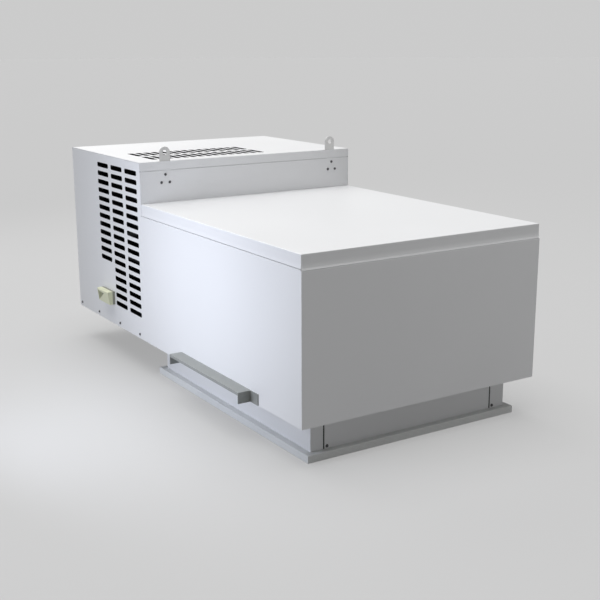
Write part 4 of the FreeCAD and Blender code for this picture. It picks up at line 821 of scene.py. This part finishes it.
cover_low, cover_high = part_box("condenser_top_cover")
cover = bmesh.new()
add_outline(cover, [(cover_low.x, cover_low.y), (cover_high.x, cover_low.y),
                    (cover_high.x, cover_high.y), (cover_low.x, cover_high.y)])
first_slot, slot_pitch, first_row, row_pitch = -0.2175, 0.0196, 0.390, 0.080
for row in range(2):
    for column in range(15):
        add_slot(cover, (first_slot + slot_pitch * column, first_row + row_pitch * row), 0.0134,
                 upright=True)
opening_half, opening_gap = 0.0131, 0.0006
for eye, middle in (("lifting_eye_left", -0.213), ("lifting_eye_right", 0.2215)):
    eye_low, eye_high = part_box(eye)
    start, end, near, far = (middle - opening_half, middle + opening_half,
                             eye_low.y - opening_gap, eye_high.y + opening_gap)
    add_outline(cover, [(start, near), (end, near), (end, far), (start, far)])
bmesh.ops.triangle_fill(cover, use_beauty=True, edges=cover.edges[:], normal=(0, 0, 1))
skirt = cover_low.z - cover_high.z
for y in (cover_low.y, cover_high.y):
    add_fold(cover, [edge for edge in cover.edges if edge.is_boundary
                     and all(abs(v.co.y - y) < 1e-5 for v in edge.verts)], skirt)
bmesh.ops.translate(cover, vec=(0, 0, cover_high.z), verts=cover.verts[:])
face_outwards(cover, (0, 0.5, 3))
# The cover carries black painted shade on its faces inside the machine room.
cover_shaded_paint = shaded_inside(white_paint, "finished_white_sheet_cover_shaded", (0.270, 0.2, 0.2019))
thicken(add_piece("condenser_top_cover_sheet", cover, cover_shaded_paint, "condenser_top_cover"), sheet)


# Lid of the low section
# An inverted tray of white sheet, filled with foam, on a thin rubber strip that leaves a gap over
# the side panels. Its skirt flares towards the hem, and in front a lip covers the panel's fold.

broken_edges("lid_gasket", rubber, 0.0003)
lid_foam = merged_copy("lid_insulation")
foam_front, foam_setback = -0.33, 0.0035
bmesh.ops.translate(lid_foam, vec=(0, foam_setback, 0),
                    verts=[v for v in lid_foam.verts if v.co.y < foam_front])
round_edges(lid_foam, sharp_edges(lid_foam), 0.0006)
add_piece("lid_insulation_slab", lid_foam, foam, "lid_insulation")
lid_low, lid_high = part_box("evaporator_lid")
lid_inset, lid_flare, lid_edge, lid_gap, lid_setback = 0.0008, 0.0105, 0.0012, 0.0005, 0.0017
hem_width = 0.0112
lid = bmesh.new()
bmesh.ops.create_grid(lid, x_segments=1, y_segments=1, size=0.5)


def place_ring(verts, stand_out, level):
    """Puts four corners round the lid, standing out from the skirt at the front and the sides."""
    for v in verts:
        v.co.x = math.copysign(lid_high.x - lid_inset + stand_out, v.co.x)
        v.co.y = lid_high.y if v.co.y > 0 else lid_low.y + lid_setback + lid_inset - stand_out
        v.co.z = level


place_ring(lid.verts, 0, lid_high.z)
top_edges = lid.edges[:]
rim = top_edges
rings = [(0, lid_low.z + lid_flare)]
rings += [(lid_inset * share ** 2, lid_low.z + lid_gap + (lid_flare - lid_gap) * (1 - share))
          for share in (0.25, 0.5, 0.75, 1)]
for stand_out, level in rings:
    ring, rim = extrude_rim(lid, rim)
    place_ring(ring, stand_out, level)
hem = extrude_rim(lid, rim)[0]
place_ring(hem, lid_inset - hem_width, lid_low.z + lid_gap)
for v in hem:
    v.co.y = min(v.co.y, lid_high.y - hem_width)
round_edges(lid, top_edges, lid_edge, 4)
face_outwards(lid, (0, 0, 3))
thicken(add_piece("evaporator_lid_tray", lid, white_paint, "evaporator_lid"), sheet)
lip = bmesh.new()
bmesh.ops.create_grid(lip, x_segments=1, y_segments=1, size=0.5)
lip_side, lip_share, lip_drop = lid_high.x - 0.0014, 0.4, 0.0011
for v in lip.verts:
    share, rise = (0.95, 0.0010) if v.co.y > 0 else (lip_share, -0.0009)
    v.co = (math.copysign(lip_side, v.co.x), lid_low.y + lid_setback * share, lid_low.z + rise)
foot = [edge for edge in lip.edges if all(v.co.z < lid_low.z for v in edge.verts)]
bmesh.ops.translate(lip, vec=(0, -lid_setback * lip_share, -lip_drop),
                    verts=extrude_rim(lip, foot)[0])
face_outwards(lip, (0, -3, 0.3))
thicken(add_piece("evaporator_lid_lip", lip, white_paint), 0.0006)


# Screws
# Self-drilling hexagon screws of darkened zinc: six hold the eyes, eight the side panels' feet and
# four the plug's skins. Each head has a flange and a chamfered crown.

def screw_heads(node, outward, seats):
    """Heads and shanks of a group of screws on their seats."""
    bm = bmesh.new()
    for seat, way in zip(seats, outward):
        known = set(bm.verts)
        corners = {}
        for part, segments, radius, end_radius, start, end in (
                ("flange", 24, 0.0032, 0.0029, 0, 0.0006),
                ("crown", 6, 0.0027, 0.0027, 0.0006, 0.0020),
                ("shank", 12, 0.0021, 0.0021, -0.004, 0)):
            corners[part] = bmesh.ops.create_cone(
                bm, cap_ends=True, segments=segments, radius1=radius, radius2=end_radius,
                depth=end - start, matrix=Matrix.Translation((0, 0, (start + end) / 2)))["verts"]
        round_edges(bm, [edge for edge in bm.edges if all(v in corners["crown"] and v.co.z > 0.0019
                                                          for v in edge.verts)], 0.0004)
        added = [v for v in bm.verts if v not in known]
        turn = Vector(way).to_track_quat("Z", "Y").to_matrix()
        bmesh.ops.rotate(bm, cent=(0, 0, 0), matrix=turn, verts=added)
        bmesh.ops.translate(bm, vec=seat, verts=added)
    smooth(add_piece(node + "_heads", bm, screw_zinc, node), 30)


step_face, cabinet_side, plug_face = 0.316, 0.275, 0.2985
screw_heads("lifting_eye_screws", [(0, -1, 0)] * 6, [
    (middle + across, step_face, level) for middle in (-0.214, 0.2255)
    for across, level in ((0, 0.373), (-0.010, 0.35568), (0.010, 0.35568))])
screw_heads("base_screws", [(-1, 0, 0)] * 4 + [(1, 0, 0)] * 4, [
    (side * cabinet_side, y, 0.010) for side in (-1, 1) for y in (0.349, 0.463, 0.593, 0.707)])
screw_heads("plug_screws", [(0, -1, 0)] * 2 + [(0, 1, 0)] * 2, [
    (x, way * plug_face, -0.0583) for way in (-1, 1) for x in (-0.197, 0.2035)])


# Grip rails
# Folded from 2 mm galvanised sheet: a ledge with a short lip, carried by two end plates. The front
# plate's foot is turned outwards along the side panel, the rear one's inwards under the ledge.

plate_y, rail_end, foot_width, foot_height, rail_sheet = 0.1335, 0.1357, 0.025, 0.0201, 0.002
for side, way in (("left", -1), ("right", 1)):
    rail = merged_copy("grip_rail_" + side)
    for v in rail.verts:
        if v.co.y > rail_end + foot_width / 2:
            v.co.y = rail_end
    add_block(rail, (rail_sheet, foot_width, foot_height),
              (way * (cabinet_side + rail_sheet / 2), plate_y - foot_width / 2, foot_height / 2))
    round_edges(rail, sharp_edges(rail), 0.0007, 3, clamped=True)
    add_piece("grip_rail_" + side + "_folded", rail, galvanised, "grip_rail_" + side)


# Cable entry
# A flat olive base carries a hollow ivory cap, both moulded. The cap's face leans in and has a
# three-sided opening near its rear end.

entry_olive = finish("entry_olive", (0.30, 0.30, 0.24), (0.25, 0.25, 0.20), 0.50, 0.64,
                     patch_scale=40.0, grain_scale=1100.0)
entry_ivory = finish("entry_ivory", (0.74, 0.75, 0.53), (0.69, 0.70, 0.49), 0.34, 0.46,
                     patch_scale=25.0, grain_scale=1100.0)
broken_edges("cable_entry_base", entry_olive, 0.0005)
cap_low, cap_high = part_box("cable_entry_cover")
cap_middle = (cap_low.z + cap_high.z) / 2
lean, crease = 0.004, 0.002
slope = Vector((-lean, 0, cap_high.z - crease - cap_low.z))
cap = bmesh.new()
add_outline(cap, [(cap_low.y, 0), (cap_high.y, 0),
                  (cap_high.y, slope.length), (cap_low.y, slope.length)])
opening = bmesh.ops.create_circle(cap, cap_ends=False, segments=12, radius=0.0008,
                                  matrix=Matrix.Rotation(math.radians(15), 4, "Z"))["verts"]
opening_corners = ((0.5522, 0.0245), (0.5190, 0.0232), (0.5522, 0.0030))
for v in opening:
    third = int(math.degrees(math.atan2(v.co.y, v.co.x)) % 360 // 120)
    v.co += Vector((*opening_corners[third], 0))
bmesh.ops.triangle_fill(cap, use_beauty=True, edges=cap.edges[:], normal=(0, 0, 1))
rim = [edge for edge in cap.edges if edge.is_boundary and edge.verts[0] not in opening]
along_slope = slope.normalized()
outward = Vector((0, 1, 0)).cross(along_slope)
bmesh.ops.transform(cap, verts=cap.verts[:], matrix=Matrix((
    (0, along_slope.x, outward.x, cap_low.x + lean), (1, 0, 0, 0),
    (0, along_slope.z, outward.z, cap_low.z), (0, 0, 0, 1))))
for step in ("crease", "wall"):
    ring, rim = extrude_rim(cap, rim)
    for v in ring:
        v.co.x = v.co.x + crease if step == "crease" else cap_high.x
        v.co.z = cap_high.z if v.co.z > cap_middle else cap_low.z
face_outwards(cap, (-2, 0.52, 0.2))
entry_cap = add_piece("cable_entry_cap", cap, entry_ivory, "cable_entry_cover")
thicken(entry_cap, 0.0018)
rounding = entry_cap.modifiers.new("edges", "BEVEL")
rounding.width = 0.0006
rounding.segments = 3
rounding.limit_method = "ANGLE"
rounding.angle_limit = math.radians(30)


# Floor
# A plain pale floor under the flange, which is the lowest part of the unit.

floor_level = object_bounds()[0].z
ground = bmesh.new()
bmesh.ops.create_circle(ground, cap_ends=True, segments=64, radius=40,
                        matrix=Matrix.Translation((0, 0.2, floor_level)))
ground_mesh = bpy.data.meshes.new("floor")
ground.to_mesh(ground_mesh)
ground.free()
floor = bpy.data.objects.new("floor", ground_mesh)
bpy.context.scene.collection.objects.link(floor)
floor_paint = bpy.data.materials.new("floor_paint")
floor_paint.use_nodes = True
nodes = floor_paint.node_tree.nodes
links = floor_paint.node_tree.links
shader = nodes["Principled BSDF"]
shader.inputs["Roughness"].default_value = 0.9
shader.inputs["Specular IOR Level"].default_value = 0.1
shader.inputs["Base Color"].default_value = (0.24, 0.24, 0.24, 1)
shader.inputs["Emission Color"].default_value = (1, 1, 1, 1)


def seen_rays(nodes, links):
    """Mask of the rays by which the background is seen: straight on, in gloss and through glass."""
    rays = nodes.new("ShaderNodeLightPath")
    result = rays.outputs["Is Camera Ray"]
    for kind in ("Is Glossy Ray", "Is Transmission Ray"):
        either = nodes.new("ShaderNodeMath")
        either.operation = "MAXIMUM"
        links.new(result, either.inputs[0])
        links.new(rays.outputs[kind], either.inputs[1])
        result = either.outputs["Value"]
    return result


glow = nodes.new("ShaderNodeMath")
glow.operation = "MULTIPLY"
glow.inputs[1].default_value = 0.34
links.new(seen_rays(nodes, links), glow.inputs[0])
links.new(glow.outputs["Value"], shader.inputs["Emission Strength"])
from_below = nodes.new("ShaderNodeNewGeometry")
open_floor = nodes.new("ShaderNodeBsdfTransparent")
either_side = nodes.new("ShaderNodeMixShader")
links.new(from_below.outputs["Backfacing"], either_side.inputs["Fac"])
links.new(shader.outputs["BSDF"], either_side.inputs[1])
links.new(open_floor.outputs["BSDF"], either_side.inputs[2])
links.new(either_side.outputs["Shader"], nodes["Material Output"].inputs["Surface"])
ground_mesh.materials.append(floor_paint)


# Light
# As in a photo studio: broad light from above, a soft box behind whose light the step keeps off
# the lid's rear edge, a cool one close to the left side with one beyond it, and one on the right.

world = bpy.data.worlds.new("studio")
bpy.context.scene.world = world
world.use_nodes = True
nodes = world.node_tree.nodes
links = world.node_tree.links
strength = nodes.new("ShaderNodeMapRange")
strength.inputs["To Min"].default_value = 0.11
strength.inputs["To Max"].default_value = 0.60
links.new(seen_rays(nodes, links), strength.inputs["Value"])
links.new(strength.outputs["Result"], nodes["Background"].inputs["Strength"])
nodes["Background"].inputs["Color"].default_value = (1, 1, 1, 1)


def add_lamp(name, kind, power, place, aim=(0, 0, 0), size=(1, 1), tint=(1, 1, 1)):
    """Soft box that looks at a point, or a broad sun; the camera doesn't see it."""
    lamp = bpy.data.lights.new(name, kind)
    lamp.energy = power
    lamp.color = tint
    if kind == "AREA":
        lamp.shape = "RECTANGLE"
        lamp.size, lamp.size_y = size
        lamp.spread = math.radians(150)
    else:
        lamp.angle = math.radians(60)
    stand = bpy.data.objects.new(name, lamp)
    stand.location = place
    stand.rotation_mode = "QUATERNION"
    stand.rotation_quaternion = (Vector(place) - Vector(aim)).to_track_quat("Z", "Y")
    stand.visible_camera = False
    bpy.context.scene.collection.objects.link(stand)


cool = (0.82, 0.87, 1.0)
add_lamp("over_light", "SUN", 2.78, (0.0, 0.1, 2.2))
add_lamp("rear_light", "AREA", 11.5, (-0.3, 2.0, 1.75), (0, 0.1, 0.3), (2.2, 1.4))
add_lamp("left_light", "AREA", 2.05, (-0.825, 0.05, 0.25), (-0.275, 0.05, 0.25), (0.4, 0.4), cool)
add_lamp("far_light", "AREA", 3.4, (-2.2, 0.5, 0.25), (-0.275, 0.2, 0.2), (0.8, 0.8), cool)
add_lamp("right_light", "AREA", 4.1, (1.6, -2.2, 0.5), (0, -0.3, 0.1), (1.2, 0.8))


# Camera
# It stands to the left of the front, a little above the lid, where the photo was taken from.

camera = bpy.data.cameras.new("camera")
camera.sensor_width = 36
camera.lens = 62.607
camera.clip_end = 100
camera_stand = bpy.data.objects.new("camera", camera)
place = (-1.1901, -1.7766, 0.6625)
yaw, pitch, roll = math.radians(-32.34), math.radians(14.09), math.radians(-0.17)
ahead = Vector((-math.sin(yaw) * math.cos(pitch), math.cos(yaw) * math.cos(pitch),
                -math.sin(pitch)))
across = Vector((math.cos(yaw), math.sin(yaw), 0))
up = across.cross(ahead)
across, up = (across * math.cos(roll) + up * math.sin(roll),
              up * math.cos(roll) - across * math.sin(roll))
camera_stand.matrix_world = Matrix((*zip(across, up, -ahead, place), (0, 0, 0, 1)))
bpy.context.scene.collection.objects.link(camera_stand)
bpy.context.scene.camera = camera_stand
bpy.context.scene.view_settings.view_transform = "Standard"
